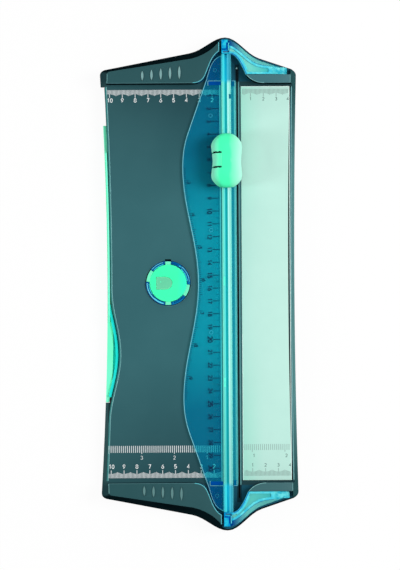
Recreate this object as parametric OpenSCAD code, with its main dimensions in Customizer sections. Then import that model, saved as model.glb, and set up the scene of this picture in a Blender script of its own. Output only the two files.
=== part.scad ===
// Sliding-head paper trimmer: a waisted base with two fences, a hinged see-through rail,
// a cutter head that slides on it, a blade store in the deck and a swing-out side arm.
// X runs across the cut, Y along it, Z up. The origin is under the middle of the base.

/* [Base] */
// Length of the base over its two end crests
base_length = 386; // [376:1:396]
// Width of the base over its corners
base_width = 154; // [151:1:160]
// Height of the deck above the table
deck_height = 14; // [13.5:0.5:16]
// Height of the fence walls above the deck
fence_height = 11; // [10:0.5:13]
// Depth of each end, from its crest to the fence
end_depth = 38; // [37:0.5:40]
// Thickness of the deck
deck_thickness = 3; // [2.6:0.1:3.4]
// Thickness of the moulded walls
wall = 2.5; // [2:0.1:3]
// Distance of the cutting line from the middle of the base
cut_x = 30.6; // [29.6:0.1:31.6]
// Setback of the left skirt at deck level
skirt_flare = 4.3; // [3.5:0.1:5]

/* [Side table] */
// Rim between the inlay plate and the right edge of the deck
plate_rim = 3.2; // [2.8:0.1:3.6]
// Thickness of the inlay plate
plate_thickness = 1.5; // [1:0.1:1.6]

/* [Rail] */
// Distance of the middle of the rail from the cutting line
rail_offset = 8.6; // [8.4:0.1:9]
// Width over the lips of the rail
rail_width = 7.4; // [7:0.1:8]
// Height of the rail lips above the deck
rail_height = 10; // [9.5:0.1:10.5]
// Thickness of the ruler wing
wing_thickness = 2; // [1.6:0.1:2.2]
// Gap for the paper under the rail
paper_gap = 0.4; // [0.3:0.1:0.6]
// Setback of the rail hinge from the right corner of the base
hinge_inset = 11; // [10:0.5:12]
// Diameter of the hinge pins
hinge_pin_d = 3; // [2.5:0.1:3.4]

/* [Cutter head] */
// Length of the push cover
head_length = 42.5; // [40:0.5:46]
// Width of the push cover over its lobes
head_width = 25.8; // [25.6:0.1:26.6]
// Height of the push cover
head_height = 21.6; // [21:0.1:24]
// Place of the head along the rail, from the middle of the base
head_y = 94.5; // [-150:0.5:150]
// Diameter of the rotary blade
blade_d = 12; // [11.6:0.1:12.4]
// Travel of the push cover
press_travel = 3; // [2.5:0.1:3]

/* [Blade store] */
// Distance of the store from the middle of the base
store_x = -24; // [-28:0.5:-22]
// Outer diameter of the store ring
store_ring_d = 34.6; // [34.6:0.2:37]
// Diameter of the store cap
store_cap_d = 29; // [28.6:0.2:29.4]
// Width of each narrow lug on the cap
lug_width = 4.8; // [4:0.1:5.6]

/* [Extension arm] */
// Thickness of the arm's web
arm_web = 3; // [2.6:0.1:3.2]
// Depth of the finger scoop in the deck edge
scoop_depth = 7.2; // [6:0.1:9]
// Diameter of the pivot pin
pivot_d = 5; // [4:0.1:6]

/* [Hidden] */
$fn = 48;
eps = 0.01;
// Working clearances: sliding and static faces, shafts in bores, and pins pressed into the moulding
slide_gap = 0.3;
shaft_gap = 0.06;
seat_gap = 0.02;

// Heights
foot_height = 2;
cover_thickness = 2.4;
cover_top = foot_height + cover_thickness;
deck_under = deck_height - deck_thickness;
housing_top = deck_height + fence_height;
rail_z = deck_height + paper_gap;

// Plan of the base
crest_y = base_length / 2;
corner_x = base_width / 2;
rail_x = cut_x - rail_offset;
crest_x = rail_x - 0.5;
fence_y = crest_y - end_depth;
hinge_x = corner_x - hinge_inset;
left_corner_y = crest_y - 25.9;
right_corner_y = crest_y - 26.4;
left_shoulder = [crest_x - 28, crest_y - 12.3];
right_shoulder = [crest_x + 26.5, crest_y - 16.6];
corner_cut = 3.8;
corner_sharpen = 0.7;
left_waist = 5.3;
right_waist = 2.3;
left_flare_mid = 3.4;
right_flare = 3.2;
right_flare_mid = 2;
end_flare_left = 5;
end_flare_corner = 2.2;
end_flare_right = 1.7;
end_draft = 1.5;
edge_round = 1;
side_steps = 14;
curve_steps = 8;

// Raised housings: the bay beside the rail end and the hinge block
bay_wall_x = rail_x - 5.2;
bay_end_y = crest_y - 13.5;
bay_corner_x = rail_x - 22;
bay_slope_low = [rail_x - 16, fence_y + 6.5];
bay_slope_high = [rail_x - 12.4, crest_y - 22.5];
block_y = fence_y + 6.6;
block_left = rail_x + 15.6;
block_round = 13.4;
post_x = hinge_x + 6;

// Rail profile
rail_half = rail_width / 2;
lip_overhang = 1;
rail_groove = 1.8;
lip_height = 2;
rail_top = deck_height + rail_height;
left_rib_in = rail_x - 0.3 - rail_groove / 2;
right_rib_in = left_rib_in + rail_groove;
left_stem = rail_x - rail_half + lip_overhang;
right_stem = rail_x + rail_half - lip_overhang;
flange_edge = cut_x - 1.2;
flange_thickness = 1;
rail_end_y = fence_y + 22.8;
flange_end_y = fence_y + 3;
notch_y = fence_y - 10.2;
notch_length = 3.6;
tongue_length = 8;
tongue_half = 3;
rail_screw = [rail_x + 0.5, rail_end_y + 4.2];
rail_screw_d = 2.4;
rail_screw_head = 4.4;
rail_screw_length = 7.5;
rail_screw_free = 0.2;

// Wavy wing edge
wing_waist_x = rail_x - 22.8;
wing_bulge_x = rail_x - 34.6;
wing_bulge_y = 0.584 * fence_y;
wing_turn = 26;
wing_slope = 0.325;
wing_fence_x = rail_x - 16.7;
wing_tip = [rail_x - rail_half, rail_end_y - 0.2];

// Hinge arms
hinge_z = deck_height + 5.5;
arm_floor = rail_z + 0.1;
arm_rim = 3.2;
block_setback = 1;
arm_frame = 1.7;
arm_sink = 0.9;
arm_wall = 2;
knuckle_r = 3.4;
arm_lean = 4.8;
arm_lean_tip = 1.5;
block_width = 4.8;
arm_left = rail_x - rail_half + 0.2;
arm_inner_y = block_y + slide_gap;
arm_slope_x = hinge_x - 10;
pin_seat = 5;

// Cutting strip
strip_half = 1.6;
strip_depth = 3.4;
groove_half = 0.65;
groove_depth = 2.5;
groove_end = fence_y + 12.3;
keel_half = 4.6;

// Low ridge that carries each fence on under the rail, and the recess that clears it
ridge_x0 = rail_x - 13.8;
ridge_x1 = cut_x - strip_half - 0.6;
ridge_width = 1.8;
ridge_height = 1.2;
recess_x0 = rail_x - 14.4;
recess_y0 = fence_y - 1.4;
recess_y1 = fence_y + 3;
recess_depth = 1.2;

// Inlay plate
plate_x0 = cut_x + 2.8;
plate_y = fence_y - 1.5;
plate_edge_gap = 0.9;
plate_bow = 1;

// Cutter head
carriage_length = head_length - 11;
carriage_wall = 1.8;
hook_floor = rail_z + wing_thickness + 0.8;
carriage_top = rail_top + 4;
head_base = deck_height + 6;
cover_wall = 1.8;
waist_left = 2.1;
waist_right = 1.5;
head_swell = 0.85;
head_round = 0.8;
slot_width = 1;
tab_half = 5;
tab_root = rail_x - 4.1;
tab_gap = 0.15;
tab_trim = 0.6;
rail_way = 0.6;
cassette_half = 6;
cassette_height = 12.5;
cassette_round = 7;
cassette_x0 = cut_x - 1.9;
cassette_thick = 3.3;
cassette_z = deck_height + 4.7;
blade_z = deck_height + 1.2 + blade_d / 2;
blade_thick = 0.5;
blade_slot = 1.1;
axle_d = 2;
post_gap = 0.6;
post_thick = 3;
spring_y = carriage_length / 2 - 4.5;
spring_r = 2.6;
spring_wire = 0.35;
spring_turns = 6;
spring_seat = 2;

// Blade store
store_y = 0;
ring_r = store_ring_d / 2;
cap_r = store_cap_d / 2;
ring_flange = 1.3;
cup_r = ring_r + ring_flange + slide_gap;
cup_wall = 1.7;
cup_floor = 1.4;
cup_base = cover_top + 0.2;
ledge_top = deck_height - 6;
ring_top = deck_height + 2;
lug_half = asin(lug_width / 2 / ring_r);
side_lug = 2.1;
lugs = [[90, 1], [159, side_lug], [270, 1], [339, side_lug]];
lug_reach = ring_r - cap_r + 0.6;
lug_floor = deck_height - 1.6;
cap_top = deck_height + 2.6;
window_flat = -9.2;
window_tip = 3.3;
window_half = 4.9;

// Extension arm
arm_z = cover_top + 0.8;
arm_lip_top = deck_under - 0.4;
arm_lip = 4.6;
arm_width = 14;
arm_setback = 0.4;
arm_top_y = fence_y - 31.6;
arm_low_y = 62.6 - fence_y;
arm_tip = 2.4;
arm_taper = 24;
pivot = [12 - corner_x, arm_top_y - 10.4];
pocket_top_y = fence_y - 0.8;
scoop_y = -56.2;
scoop_half = 52;

// Fasteners and feet
screw_d = 2.8;
screw_head_d = 5.6;
screw_length = 8;
boss_d = 7.2;
screw_depth = 5;
screw_setback = 23;
cover_screw_at = [for (x = [32 - corner_x, rail_x - 10, corner_x - 16], s = [-1, 1])
    [x, s * (fence_y - screw_setback)], [rail_x - 10, 0], [corner_x - 29, 0]];
foot_d = 14;
foot_recess = 1;
foot_inset = 19;
foot_setback = 7;
foot_at = [for (x = [foot_inset - corner_x, corner_x - foot_inset], s = [-1, 0, 1])
    [x, s * (fence_y - foot_setback)]];
rib_pitch = 7.2;
rib_at = [for (k = [0:4]) crest_x - 64.7 + rib_pitch * k];

charcoal = [0.16, 0.3, 0.32];
clear_blue = [0.1, 0.55, 0.68, 0.6];
mint = [0.28, 0.98, 0.7];
pale_mint = [0.77, 0.93, 0.87];

// Curves
function mix(a, b, t) = a + (b - a) * t;
function ease(t) = let (u = min(1, max(0, t))) u * u * (3 - 2 * u);
function bezier2(a, b, c, n) = [for (i = [0:n]) let (t = i / n) mix(mix(a, b, t), mix(b, c, t), t)];
function bezier3(a, b, c, d, n) =
    [for (i = [0:n]) let (t = i / n, p = mix(a, b, t), q = mix(b, c, t), r = mix(c, d, t))
        mix(mix(p, q, t), mix(q, r, t), t)];
function reversed(list) = [for (i = [len(list) - 1:-1:0]) list[i]];
function flip_y(list) = reversed([for (p = list) [p.x, -p.y]]);
function left_normal(a, b) = let (d = b - a) [-d.y, d.x] / norm(d);

// A solid through a stack of outlines, each [height, points], all with the same number of points
module loft(levels) {
    n = len(levels[0][1]);
    last = len(levels) - 1;
    points = [for (level = levels, p = level[1]) [p.x, p.y, level[0]]];
    sides = [for (k = [0:last - 1], i = [0:n - 1], half = [0, 1])
        let (j = (i + 1) % n, a = k * n + i, b = k * n + j, c = b + n, d = a + n)
        half == 0 ? [a, d, c] : [a, c, b]];
    floor_face = [[for (i = [0:n - 1]) i]];
    roof_face = [[for (i = [n - 1:-1:0]) last * n + i]];
    polyhedron(points = points, faces = concat(floor_face, sides, roof_face));
}

// Cuts a solid flat below one height and above another
module trimmed(low, high) difference() {
    children();
    translate([-200, -400, low - 20]) cube([400, 800, 20]);
    translate([-200, -400, high]) cube([400, 800, 20]);
}

// End edge of the base, from the right corner to the left one, starting and ending short of the corners
right_rise = (right_shoulder.y - right_corner_y) / (right_shoulder.x - corner_x);
left_rise = (left_shoulder.y - left_corner_y) / (left_shoulder.x + corner_x);
function end_points(x_right, x_left) = concat(
    [[x_right, right_corner_y + right_rise * (x_right - corner_x)]],
    bezier3(right_shoulder, right_shoulder - [10, 10 * right_rise], [crest_x + 9.5, crest_y],
        [crest_x, crest_y], curve_steps),
    [for (i = [1:curve_steps]) bezier3([crest_x, crest_y], [crest_x - 9.5, crest_y],
        left_shoulder + [11, 11 * left_rise], left_shoulder, curve_steps)[i]],
    [[x_left, left_corner_y + left_rise * (x_left + corner_x)]]);
end_table = reversed(end_points(corner_x, -corner_x));
function end_y(x) = lookup(x, end_table);

// Side edges of the base and how far the skirt leans in at deck level
function bow(y, mid, tip) = mid + (tip - mid) * pow(abs(y) / left_corner_y, 2);
function right_side(y) = bow(y, corner_x - right_waist, corner_x);
function left_side(y) = -bow(y, corner_x - left_waist, corner_x);
function right_lean(y) = bow(y, right_flare_mid, right_flare);
function left_lean(y) = bow(y, left_flare_mid, skirt_flare);
function end_lean(x) = x < left_shoulder.x
    ? mix(end_flare_corner, end_flare_left, (x + corner_x) / (left_shoulder.x + corner_x))
    : mix(end_flare_left, end_flare_right, ease((x - crest_x + 16) / 16));

// Outline of the base: lean is the share of the skirt's lean, extra a further inset all round.
// The corners are round at the foot and crisper above
function base_outline(lean, extra) = let (
    right_in = lean * right_flare + extra,
    left_in = lean * skirt_flare + extra,
    cut = corner_cut * (1 - corner_sharpen * lean),
    raw = end_points(corner_x - right_in - cut, -corner_x + left_in + cut),
    last = len(raw) - 1,
    end = [for (i = [0:last]) raw[i]
        + left_normal(raw[max(0, i - 1)], raw[min(last, i + 1)]) * (lean * end_lean(raw[i].x) + extra)],
    right_y = right_corner_y - lean * end_flare_right - extra - cut,
    left_y = left_corner_y - lean * end_flare_corner - extra - cut,
    right = [for (i = [0:side_steps]) let (y = mix(-right_y, right_y, i / side_steps))
        [right_side(y) - lean * right_lean(y) - extra, y]],
    left = [for (i = [0:side_steps]) let (y = mix(left_y, -left_y, i / side_steps))
        [left_side(y) + lean * left_lean(y) + extra, y]],
    right_tip = [right[side_steps].x + 0.15, right_y + 0.74 * cut],
    left_tip = [left[0].x - 0.15, left_y + 0.84 * cut],
    right_turn = bezier2(right[side_steps], right_tip, end[0], 4),
    left_turn = bezier2(end[last], left_tip, left[0], 4),
    top = concat([for (i = [1:3]) right_turn[i]], end, [for (i = [1:3]) left_turn[i]])
) concat(right, top, left, flip_y(top));

// Space over the deck: between the fences, in the rail bays and over the hinge arms
function end_space(grow) = concat(
    [[post_x + grow, fence_y + grow], [post_x + grow, crest_y + 20], [bay_wall_x - grow, crest_y + 20],
        [bay_wall_x - grow, bay_end_y + grow]],
    bezier2([bay_wall_x - 0.5 - grow, bay_end_y + grow], bay_slope_high + [2.3 - grow, 5.9 + grow],
        bay_slope_high - [grow, 0], 5),
    bezier2(bay_slope_low - [grow, 0], bay_slope_low + [-2.6 - grow, grow - 6.5],
        [bay_corner_x - 4, fence_y + grow], 6));
function deck_space(grow) = let (top = concat([[120, fence_y + grow]], end_space(grow), [[-120, fence_y + grow]]))
    concat(top, flip_y(top));

module hinge_block(grow) {
    difference() {
        translate([block_left + grow, fence_y + grow]) square([60, block_y - fence_y - 2 * grow]);
        difference() {
            translate([block_left - 1, fence_y - 1]) square([block_round + 1, block_y - fence_y + 1 - grow]);
            translate([block_left + block_round, fence_y + 17.4]) circle(17.4 - grow, $fn = 96);
        }
    }
}

// Finger scoop in the left edge of the deck
module finger_scoop() {
    edge = [for (i = [0:20]) let (y = scoop_y + mix(-scoop_half, scoop_half, i / 20),
        depth = scoop_depth * (0.5 + 0.5 * cos(180 * (y - scoop_y) / scoop_half)))
        [left_side(y) + left_lean(y) + depth - 0.05, y]];
    translate([0, 0, deck_under - 1])
        linear_extrude(deck_thickness + 5)
            polygon(concat([[-corner_x - 20, scoop_y - scoop_half]], edge,
                [[-corner_x - 20, scoop_y + scoop_half]]));
}

// Raised lens-shaped grip rib
module grip_rib(x, y0, y1) {
    l = y1 - y0;
    r = (l * l / 4 + 1) / 2;
    translate([x, (y0 + y1) / 2, housing_top - 0.4])
        linear_extrude(1)
            intersection() {
                translate([r - 1, 0]) circle(r, $fn = 96);
                translate([1 - r, 0]) circle(r, $fn = 96);
            }
}

module both_ends() {
    children();
    mirror([0, 1, 0]) children();
}

module base_shell() color(charcoal) difference() {
    union() {
        difference() {
            trimmed(foot_height, housing_top) loft([[foot_height - 0.8, base_outline(0, 1.4)],
                [foot_height + 0.8, base_outline(0, 0)], [deck_height, base_outline(1, 0)],
                [housing_top - edge_round, base_outline(1, end_draft * 0.9)],
                [housing_top - 0.3 * edge_round, base_outline(1, end_draft + 0.2)],
                [housing_top + 0.3 * edge_round, base_outline(1, end_draft + 1.8 * edge_round)]]);
            difference() {
                translate([0, 0, deck_height]) linear_extrude(fence_height + 5) polygon(deck_space(0));
                both_ends() translate([0, 0, deck_height - 1]) linear_extrude(fence_height + 7) hinge_block(0);
            }
            difference() {
                trimmed(foot_height - 0.5, housing_top - wall) loft([[foot_height - 1, base_outline(0, wall)],
                    [cover_top + 0.2, base_outline(0, wall)], [deck_under, base_outline(1, wall)],
                    [housing_top - wall + 1, base_outline(1, end_draft + wall)]]);
                translate([0, 0, deck_under]) linear_extrude(fence_height + 5) union() {
                    polygon(deck_space(wall));
                    translate([bay_wall_x - wall, -crest_y]) square([corner_x * 2, base_length]);
                }
            }
        }
        for (p = cover_screw_at)
            translate([p.x, p.y, cover_top + 0.1]) cylinder(d = boss_d, h = deck_under - cover_top + 0.4);
        translate([cut_x - keel_half, -groove_end - 6, deck_height - strip_depth - 2.4])
            cube([2 * keel_half, 2 * groove_end + 12, strip_depth]);
        both_ends() translate([ridge_x0, fence_y, deck_height - 0.5])
            cube([ridge_x1 - ridge_x0, ridge_width, ridge_height + 0.5]);
        both_ends() for (k = [0:4])
            grip_rib(rib_at[k], fence_y + 2.2 + 0.22 * k, fence_y + 9.9 + 0.95 * k);
    }
    for (p = cover_screw_at)
        translate([p.x, p.y, cover_top - 1]) cylinder(d = screw_d + 2 * seat_gap, h = 7);
    // Mouth of the extension arm's pocket in the left skirt
    translate([-corner_x - 5, arm_low_y - slide_gap, 0])
        cube([5 + corner_x + left_side(0) + wall + 12, pocket_top_y - arm_low_y + slide_gap, deck_under]);
    finger_scoop();
    translate([pivot.x, pivot.y, deck_under - 1]) cylinder(d = pivot_d + 2 * seat_gap, h = 2.8);
    // Channel of the cutting strip and pocket of the inlay plate
    translate([cut_x - strip_half - 0.1, -groove_end - 3.1, deck_height - strip_depth])
        cube([2 * strip_half + 0.2, 2 * groove_end + 6.2, strip_depth + 1]);
    translate([0, 0, deck_height - plate_thickness]) linear_extrude(plate_thickness + 1)
        plate_outline(0.3, plate_edge_gap);
    // Blade store opening with its index notch
    translate([store_x, store_y, deck_under - 1])
        cylinder(r = ring_r + slide_gap, h = deck_thickness + 3, $fn = 96);
    translate([store_x - 2.3, store_y + ring_r - 0.5, deck_height - 1.2]) cube([4.6, 1.9, 3]);
    both_ends() translate([hinge_x, fence_y + 1.5, hinge_z]) rotate([-90, 0, 0])
        cylinder(d = hinge_pin_d + 2 * seat_gap, h = 12);
}

module bottom_cover() color(charcoal) difference() {
    translate([0, 0, foot_height]) linear_extrude(cover_thickness) polygon(base_outline(0, wall + 0.5));
    for (p = cover_screw_at) translate([p.x, p.y, foot_height]) {
        translate([0, 0, -eps]) cylinder(d1 = screw_head_d + 0.2, d2 = screw_d + 0.3, h = 1.6);
        translate([0, 0, -1]) cylinder(d = screw_d + 0.3, h = screw_depth);
    }
    for (p = foot_at) translate([p.x, p.y, foot_height - 1]) cylinder(d = foot_d + 0.1, h = 1 + foot_recess);
    translate([pivot.x, pivot.y, foot_height + 0.8]) cylinder(d = pivot_d + 2 * seat_gap, h = 4);
}

module cover_screws() color([0.55, 0.56, 0.58])
    for (p = cover_screw_at) translate([p.x, p.y, foot_height + 0.05]) difference() {
        union() {
            cylinder(d1 = screw_head_d, d2 = screw_d, h = 1.5);
            cylinder(d = screw_d, h = screw_length);
        }
        for (a = [0, 90]) rotate([0, 0, a]) translate([-1.5, -0.3, -1]) cube([3, 0.6, 1.8]);
    }

module rubber_feet() color([0.08, 0.08, 0.08])
    for (p = foot_at) translate([p.x, p.y, 0]) {
        cylinder(d1 = foot_d - 2, d2 = foot_d - 0.4, h = 0.8);
        translate([0, 0, 0.8]) cylinder(d = foot_d - 0.4, h = foot_height + foot_recess - 0.8);
    }

// Plan of the inlay plate; its right edge follows the side of the base
module plate_outline(grow, right_grow) {
    edge = [for (i = [0:16]) let (y = mix(-plate_y - grow, plate_y + grow, i / 16))
        [right_side(y) - right_lean(y) - plate_rim + plate_bow * pow(y / plate_y, 2) + right_grow, y]];
    polygon(concat([[plate_x0 - grow, plate_y + grow], [plate_x0 - grow, -plate_y - grow]], edge));
}

module side_table_plate() color(pale_mint)
    translate([0, 0, deck_height - plate_thickness]) linear_extrude(plate_thickness) plate_outline(0, 0);

module cutting_strip() color([0.02, 0.03, 0.03]) difference() {
    translate([cut_x - strip_half, -groove_end - 3, deck_height - strip_depth])
        cube([2 * strip_half, 2 * groove_end + 6, strip_depth]);
    translate([cut_x - groove_half, -groove_end, deck_height - groove_depth])
        cube([2 * groove_half, 2 * groove_end, groove_depth + 1]);
}

module hinge_pin() translate([hinge_x, fence_y + 1.7, hinge_z]) rotate([-90, 0, 0])
    cylinder(d = hinge_pin_d, h = end_y(hinge_x) - arm_rim - fence_y - 2.2);
module hinge_pin_rear() color([0.75, 0.76, 0.78]) hinge_pin();
module hinge_pin_front() color([0.75, 0.76, 0.78]) mirror([0, 1, 0]) hinge_pin();

// Cutter cassette, drawn about the axle with the wheel's side along X
module cassette_body() difference() {
    translate([-blade_at_x, 0, -blade_up]) rotate([90, 0, 90]) linear_extrude(cassette_thick)
        intersection() {
            translate([-cassette_half, 0]) square([2 * cassette_half, cassette_height]);
            union() {
                translate([0, cassette_round]) circle(cassette_half);
                translate([-cassette_half, 0]) square([2 * cassette_half, cassette_round]);
            }
        }
    translate([-blade_slot / 2, -blade_d, -blade_d]) cube([blade_slot, 2 * blade_d, blade_d * 1.5 + 0.5]);
    translate([-10, 0, 0]) rotate([0, 90, 0]) cylinder(d = axle_d + 2 * seat_gap, h = 20);
}
blade_at_x = cut_x - cassette_x0;
blade_up = blade_z - cassette_z;
module wheel_axle() translate([-blade_at_x + 0.1, 0, 0]) rotate([0, 90, 0])
    cylinder(d = axle_d, h = cassette_thick - 0.2);
module cutter_wheel() rotate([0, 90, 0]) difference() {
    rotate_extrude($fn = 96) polygon([[axle_d / 2 + shaft_gap, -blade_thick / 2],
        [blade_d / 2 - 1, -blade_thick / 2], [blade_d / 2, -0.03], [blade_d / 2, 0.03],
        [blade_d / 2 - 1, blade_thick / 2], [axle_d / 2 + shaft_gap, blade_thick / 2]]);
    for (a = [0, 120, 240]) rotate([0, 0, a]) translate([blade_d / 4, 0, -2]) cylinder(r = 0.7, h = 4);
}
module in_head() translate([cut_x, head_y, blade_z]) children();
module blade_cassette() color([0.45, 0.5, 0.5]) in_head() cassette_body();
module blade_axle() color([0.75, 0.76, 0.78]) in_head() wheel_axle();
module rotary_blade() color([0.8, 0.81, 0.83]) in_head() cutter_wheel();

// The spare cassette lies flat on the floor of the store
spare_x = store_x + window_flat + 0.6 + blade_up;
spare_z = cup_base + cup_floor + 0.05 + cassette_thick - blade_at_x;
module in_store() translate([spare_x, store_y, spare_z]) rotate([0, 90, 0]) children();
module spare_cassette() color([0.45, 0.5, 0.5]) in_store() cassette_body();
module spare_axle() color([0.75, 0.76, 0.78]) in_store() wheel_axle();
module spare_blade() color([0.8, 0.81, 0.83]) in_store() cutter_wheel();

// Blade store: a cup under the deck, a turning ring held under the deck's lip, and a cap that lifts out
module blade_store_cup() color(charcoal) translate([store_x, store_y, 0]) rotate_extrude($fn = 96)
    polygon([[0, cup_base], [cup_r + cup_wall, cup_base], [cup_r + cup_wall, deck_under],
        [cup_r, deck_under], [cup_r, ledge_top], [cap_r + 1.5, ledge_top],
        [cap_r + 1.5, cup_base + cup_floor], [0, cup_base + cup_floor]]);

// Plan of the cap's lugs, two narrow and two wide; spare is the clearance in degrees
module lug_plan(reach, spare) for (lug = lugs) let (half = lug_half * lug.y + spare)
    polygon(concat([for (i = [0:8]) let (a = lug.x - half + half * i / 4) reach * [cos(a), sin(a)]],
        [for (i = [0:8]) let (a = lug.x + half - half * i / 4) (cap_r - 1) * [cos(a), sin(a)]]));

module blade_store_ring() color(clear_blue) translate([store_x, store_y, 0]) difference() {
    rotate_extrude($fn = 96)
        polygon([[cap_r + 0.4, ledge_top + 0.2], [ring_r + ring_flange, ledge_top + 0.2],
            [ring_r + ring_flange, deck_under - 0.4], [ring_r, deck_under - 0.4], [ring_r, ring_top - 0.6],
            [ring_r - 0.6, ring_top], [cap_r + 0.8, ring_top], [cap_r + 0.4, ring_top - 0.4]]);
    translate([0, 0, lug_floor]) linear_extrude(ring_top - lug_floor + 1) lug_plan(cap_r + lug_reach + 1, 0.8);
}

module window_shape(gap) {
    f = window_flat + gap;
    h = window_half - gap;
    t = window_tip - gap;
    polygon(concat([[f, h], [f, -h]], bezier3([-2, -h], [t - 2, -h], [t, -h * 0.45], [t, 0], 6),
        bezier3([t, 0], [t, h * 0.45], [t - 2, h], [-2, h], 6)));
}

module blade_store_cap() color(mint) translate([store_x, store_y, 0]) difference() {
    union() {
        rotate_extrude($fn = 96)
            polygon([[0, cap_top - 2.4], [cap_r - 1.9, cap_top - 2.4], [cap_r - 1.9, deck_height - 3.8],
                [cap_r, deck_height - 3.8], [cap_r, cap_top - 1], [cap_r - 0.6, cap_top - 0.4], [0, cap_top]]);
        translate([0, 0, lug_floor + 0.1]) linear_extrude(ring_top - lug_floor - 0.5)
            lug_plan(cap_r + lug_reach - 1, 0);
    }
    translate([0, 0, cap_top - 5]) linear_extrude(8) window_shape(0);
}

module cap_window() color([0.45, 0.75, 0.65, 0.7]) translate([store_x, store_y, cap_top - 2.3])
    linear_extrude(1.7) window_shape(0.1);

// Extension arm: a web under the deck with a raised outer lip
function arm_edge(y) = left_side(y) + arm_setback;
module arm_plan(width) {
    outer = [for (i = [0:16]) let (y = mix(arm_top_y, arm_low_y, i / 16)) [arm_edge(y), y]];
    heights = concat([for (i = [0:7]) arm_low_y + arm_taper * i / 8],
        [for (i = [0:14]) mix(arm_low_y + arm_taper, arm_top_y, i / 14)]);
    inner = [for (y = heights)
        [arm_edge(y) + min(width, mix(arm_tip, arm_width, ease((y - arm_low_y) / arm_taper))), y]];
    polygon(concat(outer, inner));
}
module extension_arm() color(mint) difference() {
    union() {
        translate([0, 0, arm_z]) linear_extrude(arm_web) arm_plan(arm_width);
        translate([0, 0, arm_z]) linear_extrude(arm_lip_top - arm_z) arm_plan(arm_lip);
        translate([pivot.x, pivot.y, arm_z]) cylinder(d = pivot_d + 6, h = arm_lip_top - arm_z);
    }
    translate([pivot.x, pivot.y, arm_z - 1]) cylinder(d = pivot_d + 2 * shaft_gap, h = 10);
}
module arm_pivot_pin() color([0.75, 0.76, 0.78]) translate([pivot.x, pivot.y, foot_height + 0.9])
    cylinder(d = pivot_d, h = deck_under + 1.6 - foot_height - 0.9);
module arm_friction_washer() color([0.85, 0.85, 0.82])
translate([pivot.x, pivot.y, cover_top + 0.05]) difference() {
    cylinder(d = pivot_d + 7, h = arm_z - cover_top - 0.1);
    translate([0, 0, -1]) cylinder(d = pivot_d + 0.2, h = 4);
}

// Rail: two lipped guide ribs, a thin flange to the cutting line and the wavy ruler wing
function wing_edge() = let (
    wave = [for (i = [0:16]) let (y = wing_bulge_y * i / 16)
        [mix(wing_waist_x, wing_bulge_x, 0.5 - 0.5 * cos(180 * i / 16)), y]],
    turn_end = [wing_bulge_x + wing_turn / 2 * wing_slope, wing_bulge_y + wing_turn],
    turn = bezier2([wing_bulge_x, wing_bulge_y], [wing_bulge_x, wing_bulge_y + wing_turn / 2], turn_end, 5),
    tip = bezier3([wing_fence_x, fence_y + 0.5], [wing_fence_x + 3, fence_y + 8.5],
        [wing_tip.x - 8.9, wing_tip.y - 1.6], wing_tip, 8)
) concat(wave, [for (i = [1:5]) turn[i]], tip);
module wing_plan() {
    half = wing_edge();
    polygon(concat([[rail_x, -wing_tip.y]], [[rail_x, wing_tip.y]], reversed(half),
        [for (i = [1:len(half) - 1]) [half[i].x, -half[i].y]]));
}
module rail_profile() polygon([[rail_x - rail_half, rail_z], [flange_edge, rail_z],
    [flange_edge, rail_z + flange_thickness - 0.4], [flange_edge - 0.6, rail_z + flange_thickness],
    [right_stem + 1.4, rail_z + flange_thickness], [right_stem, rail_z + wing_thickness + 0.2],
    [right_stem, rail_top - lip_height], [rail_x + rail_half, rail_top - lip_height],
    [rail_x + rail_half, rail_top - 0.6], [rail_x + rail_half - 0.6, rail_top],
    [right_rib_in, rail_top], [right_rib_in, rail_z + wing_thickness], [left_rib_in, rail_z + wing_thickness],
    [left_rib_in, rail_top], [rail_x - rail_half + 0.6, rail_top], [rail_x - rail_half, rail_top - 0.6],
    [rail_x - rail_half, rail_top - lip_height], [left_stem, rail_top - lip_height],
    [left_stem, rail_z + wing_thickness], [rail_x - rail_half, rail_z + wing_thickness]]);
module pressure_rail() color(clear_blue) difference() {
    union() {
        rotate([90, 0, 0]) linear_extrude(2 * rail_end_y, center = true) rail_profile();
        translate([0, 0, rail_z]) linear_extrude(wing_thickness) wing_plan();
        both_ends() translate([rail_x - tongue_half, rail_end_y - 1, rail_z])
            cube([2 * tongue_half, tongue_length + 1, wing_thickness]);
    }
    // Notch in the right lip where the carriage is hooked in
    translate([right_stem - 0.7, notch_y - notch_length / 2, rail_top - lip_height - 0.5])
        cube([lip_overhang + 2, notch_length, lip_height + 2]);
    both_ends() {
        // The flange stops short of the hinge arm
        translate([right_stem + 1.6, flange_end_y, rail_z - 1]) cube([10, 20, wing_thickness + 1]);
        translate([recess_x0, recess_y0, rail_z - 1])
            cube([flange_edge - 0.8 - recess_x0, recess_y1 - recess_y0, 1 + recess_depth]);
        translate([rail_screw.x, rail_screw.y, rail_z]) {
            translate([0, 0, -eps]) cylinder(d1 = rail_screw_head + rail_screw_free,
                d2 = rail_screw_d + rail_screw_free, h = 1.4);
            cylinder(d = rail_screw_d + rail_screw_free, h = 2 * wing_thickness);
        }
    }
}

module rail_screws() color([0.55, 0.56, 0.58]) both_ends()
    translate([rail_screw.x, rail_screw.y, rail_z + 0.05]) difference() {
        union() {
            cylinder(d1 = rail_screw_head, d2 = rail_screw_d, h = 1.3);
            cylinder(d = rail_screw_d, h = rail_screw_length);
        }
        for (a = [0, 90]) rotate([0, 0, a]) translate([-1.2, -0.25, -1]) cube([2.4, 0.5, 1.7]);
    }

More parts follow.
